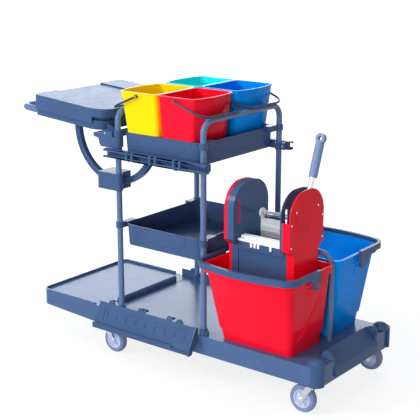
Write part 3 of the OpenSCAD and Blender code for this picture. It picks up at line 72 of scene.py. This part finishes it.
def add(tree, kind, **inputs):
    """New node with constants on the inputs that are named."""
    node = tree.nodes.new(kind)
    for key, value in inputs.items():
        node.inputs[key].default_value = value
    return node


def noise(tree, scale, detail=3.0):
    coord = tree.nodes.new("ShaderNodeTexCoord")
    tex = add(tree, "ShaderNodeTexNoise", Scale=scale, Detail=detail)
    tree.links.new(coord.outputs["Object"], tex.inputs["Vector"])
    return tex.outputs["Fac"]


# Most values of a noise texture lie between these two
NOISE_LOW = 0.3
NOISE_HIGH = 0.7


def ramp(tree, fac, low, high):
    """Colour that runs from low to high with a noise."""
    node = tree.nodes.new("ShaderNodeValToRGB")
    start, end = node.color_ramp.elements
    start.position, end.position = NOISE_LOW, NOISE_HIGH
    start.color, end.color = low, high
    tree.links.new(fac, node.inputs["Fac"])
    return node.outputs["Color"]


def span(tree, fac, low, high):
    """Value that runs from low to high with a noise."""
    node = tree.nodes.new("ShaderNodeMapRange")
    node.inputs["From Min"].default_value = NOISE_LOW
    node.inputs["From Max"].default_value = NOISE_HIGH
    node.inputs["To Min"].default_value = low
    node.inputs["To Max"].default_value = high
    tree.links.new(fac, node.inputs["Value"])
    return node.outputs["Result"]


def shaded(colour, factor):
    return (colour[0] * factor, colour[1] * factor, colour[2] * factor, 1.0)


def grained(tree, bsdf, height, strength, depth):
    """Fine bumps on the surface of a material."""
    surface = add(tree, "ShaderNodeBump", Strength=strength, Distance=depth)
    tree.links.new(height, surface.inputs["Height"])
    tree.links.new(surface.outputs["Normal"], bsdf.inputs["Normal"])


def moulded(name, rgb, rough=(0.18, 0.25), grain=700, bump=0.02, specular=0.2):
    """Moulded plastic: faint tone drift, uneven gloss and a fine grain."""
    mat, tree, bsdf = new_material(name)
    drift_scale, darkest, lightest = 7.0, 0.92, 1.06
    gloss_scale, gloss_detail, grain_detail = 26.0, 4.0, 2.0
    base = linear(*rgb)
    tone = ramp(tree, noise(tree, drift_scale), shaded(base, darkest), shaded(base, lightest))
    gloss = span(tree, noise(tree, gloss_scale, gloss_detail), *rough)
    tree.links.new(tone, bsdf.inputs["Base Color"])
    tree.links.new(gloss, bsdf.inputs["Roughness"])
    grained(tree, bsdf, noise(tree, grain, grain_detail), bump, 0.4 * MM)
    bsdf.inputs["Specular IOR Level"].default_value = specular
    return mat


def metal(name, rgb, rough, grain=300, stretch=(1, 1, 1)):
    """Bare metal with a fine uneven tone; stretch draws the grain out into lines."""
    mat, tree, bsdf = new_material(name)
    coord = tree.nodes.new("ShaderNodeTexCoord")
    mapping = tree.nodes.new("ShaderNodeMapping")
    mapping.inputs["Scale"].default_value = stretch
    tex = add(tree, "ShaderNodeTexNoise", Scale=grain, Detail=4.0)
    tree.links.new(coord.outputs["Object"], mapping.inputs["Vector"])
    tree.links.new(mapping.outputs["Vector"], tex.inputs["Vector"])
    darkest = 0.85
    base = linear(*rgb)
    tone = ramp(tree, tex.outputs["Fac"], shaded(base, darkest), base)
    tree.links.new(tone, bsdf.inputs["Base Color"])
    tree.links.new(span(tree, tex.outputs["Fac"], *rough), bsdf.inputs["Roughness"])
    bsdf.inputs["Metallic"].default_value = 1.0
    return mat


def rubber(name, rgb, rough=(0.5, 0.7), grain=900, bump=0.15):
    """Matt rubber with a blotchy tone and a fine grain."""
    mat, tree, bsdf = new_material(name)
    blotch_scale, blotch_detail, darkest, lightest = 40.0, 5.0, 0.85, 1.1
    gloss_scale = 120.0
    base = linear(*rgb)
    blotches = noise(tree, blotch_scale, blotch_detail)
    tone = ramp(tree, blotches, shaded(base, darkest), shaded(base, lightest))
    tree.links.new(tone, bsdf.inputs["Base Color"])
    tree.links.new(span(tree, noise(tree, gloss_scale), *rough), bsdf.inputs["Roughness"])
    grained(tree, bsdf, noise(tree, grain), bump, 0.5 * MM)
    return mat


MATERIALS = {
    "slate_plastic": moulded("slate_plastic", (64, 90, 130), bump=0.006, specular=0.1),
    "frame_paint": moulded("frame_paint", (90, 116, 158), rough=(0.16, 0.22), bump=0.01),
    "red_plastic": moulded("red_plastic", (252, 20, 50), rough=(0.16, 0.24), specular=0.06),
    "yellow_plastic": moulded("yellow_plastic", (255, 218, 0), rough=(0.2, 0.28), specular=0.1),
    "turquoise_plastic": moulded("turquoise_plastic", (14, 240, 242), rough=(0.2, 0.28)),
    "blue_plastic": moulded("blue_plastic", (0, 150, 250), rough=(0.16, 0.24), specular=0.05),
    "white_plastic": moulded("white_plastic", (248, 250, 253), rough=(0.3, 0.4)),
    "dark_wire": moulded("dark_wire", (48, 59, 83), rough=(0.25, 0.35), bump=0.02),
    "zinc_steel": metal("zinc_steel", (205, 210, 220), (0.22, 0.36)),
    "tyre_rubber": rubber("tyre_rubber", (120, 135, 172)),
    "hub_plastic": moulded("hub_plastic", (196, 210, 236), rough=(0.3, 0.4)),
    "lever_metal": metal("lever_metal", (226, 228, 232), (0.2, 0.34), grain=200, stretch=(60, 60, 1)),
    "gear_plastic": moulded("gear_plastic", (70, 76, 90), rough=(0.35, 0.45)),
}
LID_PLASTIC = moulded(
    "lid_plastic", (64, 90, 130), rough=(0.28, 0.36), grain=220, bump=0.008, specular=0.14)
GRIP_PLASTIC = moulded("grip_plastic", (124, 144, 182), rough=(0.42, 0.52), bump=0.01)
# Slate plastic made lighter: painted light standing in for the bright sheen on the deck
BASE_PLASTIC_PAINTED_SHEEN = moulded(
    "base_plastic_painted_sheen", (72, 100, 144), rough=(0.22, 0.28), grain=220, bump=0.004, specular=0.22)

# Pieces with a finish of their own instead of their slot's; the chassis and platform take a lighter copy of the
# slate plastic, which is painted sheen
OWN_MATERIALS = {
    "bag_lid": LID_PLASTIC,
    "chassis": BASE_PLASTIC_PAINTED_SHEEN,
    "bag_platform": BASE_PLASTIC_PAINTED_SHEEN,
    "lever_grip": GRIP_PLASTIC,
    "lever_grip_ridges": GRIP_PLASTIC,
}


# Rounded edges and smooth shading of the CAD nodes

SHARP_EDGE = math.radians(32)
BEVELLED_EDGE = math.radians(38)
SAME_PLANE = math.radians(1)
WELD_MM = 0.02
BEVEL_SEGMENTS = 2

# Bevel widths: by node, else by slot, else the plain one
PLAIN_BEVEL_MM = 0.8
BEVEL_MM = {
    "slate_plastic": 1.6,
    "red_plastic": 1.2,
    "blue_plastic": 1.2,
    "white_plastic": 1.2,
    "zinc_steel": 0.5,
}
NODE_BEVEL_MM = {
    "bag_lid": 4.5,
    "bag_ring": 2.5,
    "corner_bumpers": 4.0,
    "chassis": 2.5,
    "end_trough": 3.0,
}


def smooth_group():
    """Node group that shades smooth except along sharp edges."""
    group = bpy.data.node_groups.new("smooth_by_angle", "GeometryNodeTree")
    group.interface.new_socket("Geometry", in_out="INPUT", socket_type="NodeSocketGeometry")
    group.interface.new_socket("Geometry", in_out="OUTPUT", socket_type="NodeSocketGeometry")
    start = group.nodes.new("NodeGroupInput")
    end = group.nodes.new("NodeGroupOutput")
    faces = group.nodes.new("GeometryNodeSetShadeSmooth")
    edges = group.nodes.new("GeometryNodeSetShadeSmooth")
    edges.domain = "EDGE"
    edges.inputs["Shade Smooth"].default_value = False
    angle = group.nodes.new("GeometryNodeInputMeshEdgeAngle")
    sharp = group.nodes.new("FunctionNodeCompare")
    sharp.operation = "GREATER_THAN"
    sharp.inputs[1].default_value = SHARP_EDGE
    group.links.new(angle.outputs["Unsigned Angle"], sharp.inputs[0])
    group.links.new(sharp.outputs[0], edges.inputs["Selection"])
    group.links.new(start.outputs[0], faces.inputs["Geometry"])
    group.links.new(faces.outputs["Geometry"], edges.inputs["Geometry"])
    group.links.new(edges.outputs["Geometry"], end.inputs[0])
    return group


SMOOTH = smooth_group()


def rounded(obj, width_mm):
    """Modifier that rounds the edges of a piece."""
    bevel = obj.modifiers.new("bevel", "BEVEL")
    bevel.width = width_mm * MM
    bevel.segments = BEVEL_SEGMENTS
    return bevel


def soften(obj, width_mm):
    """Modifiers that round the edges of a CAD node and shade it evenly."""
    weld = obj.modifiers.new("weld", "WELD")
    weld.merge_threshold = WELD_MM * MM
    flat = obj.modifiers.new("flat", "DECIMATE")
    flat.decimate_type = "DISSOLVE"
    flat.angle_limit = SAME_PLANE
    bevel = rounded(obj, width_mm)
    bevel.limit_method = "ANGLE"
    bevel.angle_limit = BEVELLED_EDGE
    bevel.use_clamp_overlap = True
    obj.modifiers.new("smooth", "NODES").node_group = SMOOTH
    even = obj.modifiers.new("even", "WEIGHTED_NORMAL")
    even.keep_sharp = True


for name, obj in NODES.items():
    slot = SLOT_OF[name]
    obj.data.materials.clear()
    obj.data.materials.append(OWN_MATERIALS.get(name, MATERIALS[slot]))
    soften(obj, NODE_BEVEL_MM.get(name, BEVEL_MM.get(slot, PLAIN_BEVEL_MM)))


# Mesh helpers

def piece(name, build, body, slot):
    """New mesh piece that rides on a body; build fills a bmesh in metres of the shared frame."""
    work = bmesh.new()
    build(work)
    bmesh.ops.recalc_face_normals(work, faces=work.faces)
    mesh = bpy.data.meshes.new(name)
    work.to_mesh(mesh)
    work.free()
    mesh.materials.append(OWN_MATERIALS.get(name, MATERIALS[slot]))
    obj = bpy.data.objects.new(name, mesh)
    bpy.context.scene.collection.objects.link(obj)
    obj.modifiers.new("smooth", "NODES").node_group = SMOOTH
    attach(obj, body)
    return obj


def tube(work, points, radius, sides):
    """Closed tube with narrowed ends along a list of points."""
    tip_share = 0.35
    rings = []
    side = None
    for i, point in enumerate(points):
        ahead = (points[min(i + 1, len(points) - 1)] - points[max(i - 1, 0)]).normalized()
        if side is None:
            side = ahead.orthogonal().normalized()
        side = (side - ahead * side.dot(ahead)).normalized()
        up = ahead.cross(side)
        end = i in (0, len(points) - 1)
        r = radius * (tip_share if end else 1.0)
        ring = []
        for k in range(sides):
            t = 2 * math.pi * k / sides
            ring.append(work.verts.new(point + side * (r * math.cos(t)) + up * (r * math.sin(t))))
        rings.append(ring)
    for a, b in zip(rings, rings[1:]):
        for k in range(sides):
            work.faces.new((a[k], a[(k + 1) % sides], b[(k + 1) % sides], b[k]))
    work.faces.new(rings[0][::-1])
    work.faces.new(rings[-1])


def beads(name, lines, radius, sides, body, slot):
    """Piece made of one tube along each line of points."""
    def build(work):
        for line in lines:
            tube(work, line, radius, sides)
    return piece(name, build, body, slot)


def lathe(work, profile, centre, axis, steps=48):
    """Closed ring turned about an axis through centre; profile holds (along, radius) pairs."""
    axis = Vector(axis).normalized()
    side = axis.orthogonal().normalized()
    up = axis.cross(side)
    rings = []
    for s in range(steps):
        t = 2 * math.pi * s / steps
        out = side * math.cos(t) + up * math.sin(t)
        rings.append([work.verts.new(Vector(centre) + axis * a + out * r) for a, r in profile])
    count = len(profile)
    for s in range(steps):
        a, b = rings[s], rings[(s + 1) % steps]
        for k in range(count):
            work.faces.new((a[k], b[k], b[(k + 1) % count], a[(k + 1) % count]))


class Skin:
    """Surface of a CAD node, to lay detail on."""

    def __init__(self, node):
        work = bmesh.new()
        work.from_mesh(NODES[node].data)
        self.tree = BVHTree.FromBMesh(work)
        work.free()

    def laid(self, points, direction, sink):
        """Points cast along direction onto the surface, sunk by a little; misses are left out."""
        ray = Vector(direction).normalized()
        hits = []
        for point in points:
            place = self.tree.ray_cast(Vector(point), ray)[0]
            if place is not None:
                hits.append(place + ray * sink)
        return hits


# How far outside a node's box a ray starts, and how deep a thin line sits in the surface
CLEAR = 0.1
LINE_SINK = 0.2 * MM


def outside_x(box, end):
    """x clear of a box at its low (-1) or high (1) end."""
    low, high = box
    return (low.x if end < 0 else high.x) + end * CLEAR


# Return spring, wound as in the solid but round and smooth

def return_spring():
    low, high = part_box("return_spring")
    wire = 1.2 * MM
    turns, steps_per_turn = 44, 20
    centre_y, centre_z = (low.y + high.y) / 2, (low.z + high.z) / 2
    radius = (high.z - low.z) / 2 - wire
    x0, x1 = low.x + 2 * wire, high.x - 2 * wire
    points = [Vector((low.x, centre_y + radius, centre_z))]
    steps = turns * steps_per_turn
    for i in range(steps + 1):
        t = 2 * math.pi * turns * i / steps
        x = x0 + (x1 - x0) * i / steps
        points.append(Vector((x, centre_y + radius * math.cos(t), centre_z + radius * math.sin(t))))
    points.append(Vector((high.x, centre_y + radius, centre_z)))
    obj = beads("spring_coil", [points], wire, 10, "jaw", "zinc_steel")
    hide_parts("return_spring")


return_spring()


# Raised arcs and rims on the trays

def smile(across, top, wide, deep, steps=28):
    """Points (across, height) of an arc that hangs from top."""
    for i in range(steps + 1):
        u = -1 + 2 * i / steps
        yield across + u * wide, top - deep * math.sqrt(max(0.0, 1 - u * u))


def tray_arcs(node):
    """Arcs on the outer and inner faces of a tray's four walls."""
    low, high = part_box(node)
    mid_x, mid_y = (low.x + high.x) / 2, (low.y + high.y) / 2
    skin = Skin(node)
    top, deep, far = high.z - 15 * MM, 44 * MM, 0.3
    wide_x, wide_y = 0.118, 0.15
    lines = []
    for sign in (-1, 1):
        for start, ray in ((sign * far, -sign), (0, sign)):
            points = [(x, mid_y + start, z) for x, z in smile(mid_x, top, wide_x, deep)]
            lines.append(skin.laid(points, (0, ray, 0), LINE_SINK))
            points = [(mid_x + start, y, z) for y, z in smile(mid_y, top, wide_y, deep)]
            lines.append(skin.laid(points, (ray, 0, 0), LINE_SINK))
    beads(node + "_arcs", lines, 1.7 * MM, 6, "cart", "slate_plastic")


def tray_rim(node):
    """Bead around the top of a tray."""
    low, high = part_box(node)
    mid_x, mid_y = (low.x + high.x) / 2, (low.y + high.y) / 2
    half_x, half_y = (high.x - low.x) / 2, (high.y - low.y) / 2
    skin = Skin(node)
    radius, sink, far, steps = 2.4 * MM, 0.8 * MM, 0.2, 240
    line = []
    for i in range(steps + 1):
        t = math.pi / 2 + 2 * math.pi * i / steps
        out = Vector((math.cos(t), math.sin(t), 0))
        reach = 1 / max(abs(out.x) / half_x, abs(out.y) / half_y)
        start = Vector((mid_x, mid_y, high.z - radius)) + out * (reach + far)
        line += skin.laid([start], -out, sink)
    beads(node + "_rim", [line], radius, 8, "cart", "slate_plastic")


for tray in ("top_tray", "middle_tray"):
    tray_arcs(tray)
    tray_rim(tray)


# Raised lines on the ends of the mop buckets

def wave(y0, y1, z0, z1, steps=30):
    """S-shaped run of (y, z) points."""
    for i in range(steps + 1):
        u = i / steps
        yield y0 + (y1 - y0) * u, z0 + (z1 - z0) * (u * u * (3 - 2 * u))


def bucket_lines(node, body, sign):
    """Two lines on each end of a bucket; sign is the side of the cart that it stands on."""
    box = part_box(node)
    skin = Skin(node)
    inner_y, outer_y = 0.055, 0.205
    high_z, low_z = 0.375, 0.245
    lines = []
    for end in (-1, 1):
        x = outside_x(box, end)
        for drop in (0.0, 0.017):
            run = wave(inner_y, outer_y, high_z, low_z)
            points = [(x, sign * y, z - drop) for y, z in run]
            lines.append(skin.laid(points, (-end, 0, 0), LINE_SINK))
    beads(node + "_lines", lines, 1.8 * MM, 6, body, SLOT_OF[node])


bucket_lines("red_bucket", "red_mop_bucket", -1)
bucket_lines("blue_bucket", "blue_mop_bucket", 1)


# Ribs in the wheel hubs

# Faces of a box, as places in the list of its eight corners
BOX_FACES = ((0, 1, 3, 2), (4, 6, 7, 5), (0, 4, 5, 1), (2, 3, 7, 6), (1, 5, 7, 3), (0, 2, 6, 4))


def hub_ribs(name):
    """Six tapered ribs on both faces of a hub; all measures in mm."""
    low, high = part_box(name + "_hub")
    centre = (low + high) / 2
    rib_count = 6
    inner_radius, inner_half = 12.5, 3.0
    outer_radius, outer_half = 27.0, 2.0
    depths = (5.5, 10.5)

    def rib(work, face, t):
        out = Vector((math.cos(t), 0, math.sin(t)))
        across = Vector((-math.sin(t), 0, math.cos(t)))
        corners = []
        for radius, half in ((inner_radius, inner_half), (outer_radius, outer_half)):
            for s in (-half, half):
                for depth in depths:
                    spot = out * radius + across * s + Vector((0, face * depth, 0))
                    corners.append(work.verts.new(centre + spot * MM))
        for quad in BOX_FACES:
            work.faces.new([corners[q] for q in quad])

    def build(work):
        for face in (-1, 1):
            for k in range(rib_count):
                rib(work, face, 2 * math.pi * k / rib_count)
    piece(name + "_hub_ribs", build, name + "_wheel", "hub_plastic")


for corner in ("front_left", "front_right", "rear_left", "rear_right"):
    hub_ribs(corner)


# Ridges on the lever's grip

def grip_ridges():
    """Rings around the grip, which leans back with the lever; measures in mm."""
    lean = math.radians(20)
    radius = 15.5
    first, pitch, count = 12, 6, 16
    half_foot, half_top = 1.6, 0.8
    sunk, proud = radius - 0.2, radius + 0.6
    axis = Vector((0, math.sin(lean), math.cos(lean)))
    low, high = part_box("lever_grip")
    to_axis = Vector((0, math.cos(lean), math.sin(lean))) * (radius * MM)
    foot = Vector(((low.x + high.x) / 2, low.y, low.z)) + to_axis
    ring = [(-half_foot, sunk), (-half_top, proud), (half_top, proud), (half_foot, sunk)]
    profile = [(along * MM, r * MM) for along, r in ring]

    def build(work):
        for k in range(count):
            lathe(work, profile, foot + axis * ((first + pitch * k) * MM), axis)
    piece("lever_grip_ridges", build, "lever", "slate_plastic")


grip_ridges()


# Clips along the edges of the deck, beside the troughs

def clip(work, x, sign, edge_y, base_z):
    """Hooked strip that rises at the deck's edge and curls back; spine holds (out, up) in mm."""
    half, thick, tip_share = 13 * MM, 3.2 * MM, 0.75
    spine = [(3, -6), (3, 4), (2, 10), (-2, 15), (-8, 17), (-14, 15), (-17, 10), (-17, 5)]
    rings = []
    for i, (y, z) in enumerate(spine):
        before, after = spine[max(i - 1, 0)], spine[min(i + 1, len(spine) - 1)]
        run = Vector((0, after[0] - before[0], after[1] - before[1])).normalized()
        out = Vector((0, -run.z, run.y)) * (thick / 2)
        centre = Vector((0, y, z)) * MM
        narrow = tip_share if i == len(spine) - 1 else 1.0
        ring = []
        for side, turn in ((-1, 1), (1, 1), (1, -1), (-1, -1)):
            spot = centre + out * turn + Vector((side * half * narrow, 0, 0))
            ring.append(work.verts.new((x + spot.x, sign * (edge_y + spot.y), base_z + spot.z)))
        rings.append(ring)
    for a, b in zip(rings, rings[1:]):
        for k in range(4):
            work.faces.new((a[k], a[(k + 1) % 4], b[(k + 1) % 4], b[k]))
    work.faces.new(rings[0])
    work.faces.new(rings[-1][::-1])


def deck_clips():
    """Two clips on each side of the deck, at shares of the trough's length."""
    shares = (0.45, 0.72)
    below_rim = 22 * MM
    edge_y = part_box("chassis")[1].y
    low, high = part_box("tool_troughs")
    base_z = high.z - below_rim

    def build(work):
        for sign in (-1, 1):
            for share in shares:
                clip(work, low.x + share * (high.x - low.x), sign, edge_y, base_z)
    rounded(piece("deck_clips", build, "cart", "slate_plastic"), 0.8)


deck_clips()


# Dark line across the deck beside the platform's ridge: painted shade in the seam's groove

def deck_groove_painted_shade():
    skin = Skin("chassis")
    beyond, lift = 12 * MM, 1.0 * MM
    half, above, steps = 0.21, 0.4, 40
    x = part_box("bag_platform")[1].x + beyond
    points = [(x, -half + 2 * half * i / steps, above) for i in range(steps + 1)]
    line = skin.laid(points, (0, 0, -1), -lift)
    # The dark bead is painted shade, put where the groove would be in shadow
    beads("deck_groove_painted_shade", [line], 1.6 * MM, 8, "cart", "dark_wire")


deck_groove_painted_shade()


# Bosses under the handle pivots of the mop buckets

def pivot_bosses(node, body, handle):
    """One boss on each end of a bucket; outline holds (across, up) in mm."""
    skin = Skin(node)
    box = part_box(node)
    swing = next(j for j in frame["joints"] if j["name"] == handle + "_swing")
    y = swing["pos_m"][1]
    outline = [(-15, 0), (15, 0), (10, -38), (-10, -38)]
    overlap, sink, proud, taper = 6 * MM, 1.0 * MM, 5 * MM, 0.18
    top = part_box(handle)[0].z + overlap

    def build(work):
        for end in (-1, 1):
            x = outside_x(box, end)
            points = [(x, y + a * MM, top + b * MM) for a, b in outline]
            hits = skin.laid(points, (-end, 0, 0), sink)
            out = Vector((end * proud, 0, 0))
            middle = sum(hits, Vector()) / len(hits)
            back = [work.verts.new(p) for p in hits]
            front = [work.verts.new(p + out + (middle - p) * taper) for p in hits]
            for k in range(4):
                work.faces.new((back[k], back[(k + 1) % 4], front[(k + 1) % 4], front[k]))
            work.faces.new(front)
            work.faces.new(back[::-1])
    rounded(piece(node + "_bosses", build, body, SLOT_OF[node]), 1.5)


pivot_bosses("red_bucket", "red_mop_bucket", "red_handle")
pivot_bosses("blue_bucket", "blue_mop_bucket", "blue_handle")


# Wavy ridges on the moving jaw

def jaw_waves():
    skin = Skin("rear_jaw")
    low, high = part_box("rear_jaw")
    inset, swell, sink = 24 * MM, 3 * MM, 0.4 * MM
    steps, waves = 60, 4
    lines = []
    for drop in (34, 44):
        points = []
        for i in range(steps + 1):
            share = i / steps
            x = low.x + inset + (high.x - low.x - 2 * inset) * share
            z = high.z - drop * MM + swell * math.sin(2 * math.pi * waves * share)
            points.append((x, low.y - CLEAR, z))
        lines.append(skin.laid(points, (0, 1, 0), sink))
    beads("jaw_waves", lines, 2.2 * MM, 8, "jaw", "white_plastic")


jaw_waves()


# Light, floor and camera

def area(name, place, target, size, power, colour=(1, 1, 1)):
    light = bpy.data.lights.new(name, "AREA")
    light.shape = "RECTANGLE"
    light.size, light.size_y = size
    light.energy = power
    light.color = colour
    obj = bpy.data.objects.new(name, light)
    obj.location = place
    obj.rotation_euler = (Vector(target) - Vector(place)).to_track_quat("-Z", "Y").to_euler()
    bpy.context.scene.collection.objects.link(obj)
    obj.visible_camera = False


def white_to_camera(tree, plain, white):
    """White shader for camera, glossy and transmission rays, and the plain one for all others."""
    path = tree.nodes.new("ShaderNodeLightPath")
    seen = path.outputs["Is Camera Ray"]
    for ray in ("Is Glossy Ray", "Is Transmission Ray"):
        either = tree.nodes.new("ShaderNodeMath")
        either.operation = "MAXIMUM"
        tree.links.new(seen, either.inputs[0])
        tree.links.new(path.outputs[ray], either.inputs[1])
        seen = either.outputs[0]
    mix = tree.nodes.new("ShaderNodeMixShader")
    tree.links.new(seen, mix.inputs["Fac"])
    tree.links.new(plain, mix.inputs[1])
    tree.links.new(white, mix.inputs[2])
    return mix.outputs[0]


def make_world():
    world = bpy.data.worlds.new("studio")
    bpy.context.scene.world = world
    world.use_nodes = True
    tree = world.node_tree
    plain = tree.nodes["Background"]
    plain.inputs["Color"].default_value = (0.93, 0.96, 1.0, 1.0)
    plain.inputs["Strength"].default_value = 0.2
    white = add(tree, "ShaderNodeBackground", Color=(1, 1, 1, 1), Strength=1.0)
    surface = white_to_camera(tree, plain.outputs[0], white.outputs[0])
    tree.links.new(surface, tree.nodes["World Output"].inputs["Surface"])


def make_floor():
    """Floor that takes shadows around the cart and fades to white further out."""
    half_side = 30
    fade_start, fade_end = 0.8, 1.7
    glow_near, glow_far = 0.66, 1.0
    mesh = bpy.data.meshes.new("floor")
    work = bmesh.new()
    bmesh.ops.create_grid(work, x_segments=1, y_segments=1, size=half_side)
    work.to_mesh(mesh)
    work.free()
    floor = bpy.data.objects.new("floor", mesh)
    bpy.context.scene.collection.objects.link(floor)
    mat, tree, bsdf = new_material("floor")
    bsdf.inputs["Base Color"].default_value = (0.62, 0.63, 0.65, 1)
    bsdf.inputs["Roughness"].default_value = 0.8
    glow = add(tree, "ShaderNodeEmission", Color=(1, 1, 1, 1), Strength=1.25)
    mix = tree.nodes.new("ShaderNodeMixShader")
    coord = tree.nodes.new("ShaderNodeTexCoord")
    reach = tree.nodes.new("ShaderNodeVectorMath")
    reach.operation = "LENGTH"
    fade = tree.nodes.new("ShaderNodeMapRange")
    fade.interpolation_type = "SMOOTHSTEP"
    fade.inputs["From Min"].default_value = fade_start
    fade.inputs["From Max"].default_value = fade_end
    fade.inputs["To Min"].default_value = glow_near
    fade.inputs["To Max"].default_value = glow_far
    tree.links.new(coord.outputs["Object"], reach.inputs[0])
    tree.links.new(reach.outputs["Value"], fade.inputs["Value"])
    tree.links.new(fade.outputs["Result"], mix.inputs["Fac"])
    tree.links.new(bsdf.outputs[0], mix.inputs[1])
    tree.links.new(glow.outputs[0], mix.inputs[2])
    surface = white_to_camera(tree, bsdf.outputs[0], mix.outputs[0])
    tree.links.new(surface, tree.nodes["Material Output"].inputs["Surface"])
    mesh.materials.append(mat)


def make_camera():
    """Camera as fitted to the photo."""
    azimuth, elevation = math.radians(37.83), math.radians(15.16)
    flat = math.cos(elevation)
    back = Vector((math.sin(azimuth) * flat, -math.cos(azimuth) * flat, math.sin(elevation)))
    data = bpy.data.cameras.new("camera")
    data.lens = 91.77
    data.sensor_width = 36
    cam = bpy.data.objects.new("camera", data)
    cam.location = (2.41893, -3.0423, 1.6063)
    cam.rotation_euler = (-back).to_track_quat("-Z", "Y").to_euler()
    bpy.context.scene.collection.objects.link(cam)
    bpy.context.scene.camera = cam


def make_lights():
    area("key", (-2.2, -3.8, 3.0), (0, 0, 0.4), (1.3, 1.3), 143)
    area("top", (0.2, -0.6, 3.6), (0, 0, 0.4), (2.6, 2.6), 50)
    area("fill", (1.7, -3.4, 0.9), (0.2, 0, 0.4), (1.6, 1.0), 54)
    area("back", (-2.3, 3.0, 1.5), (0, 0, 0.6), (4.6, 2.4), 100, (0.82, 0.9, 1.0))


make_world()
make_floor()
make_lights()
make_camera()
bpy.context.scene.view_settings.view_transform = "Standard"
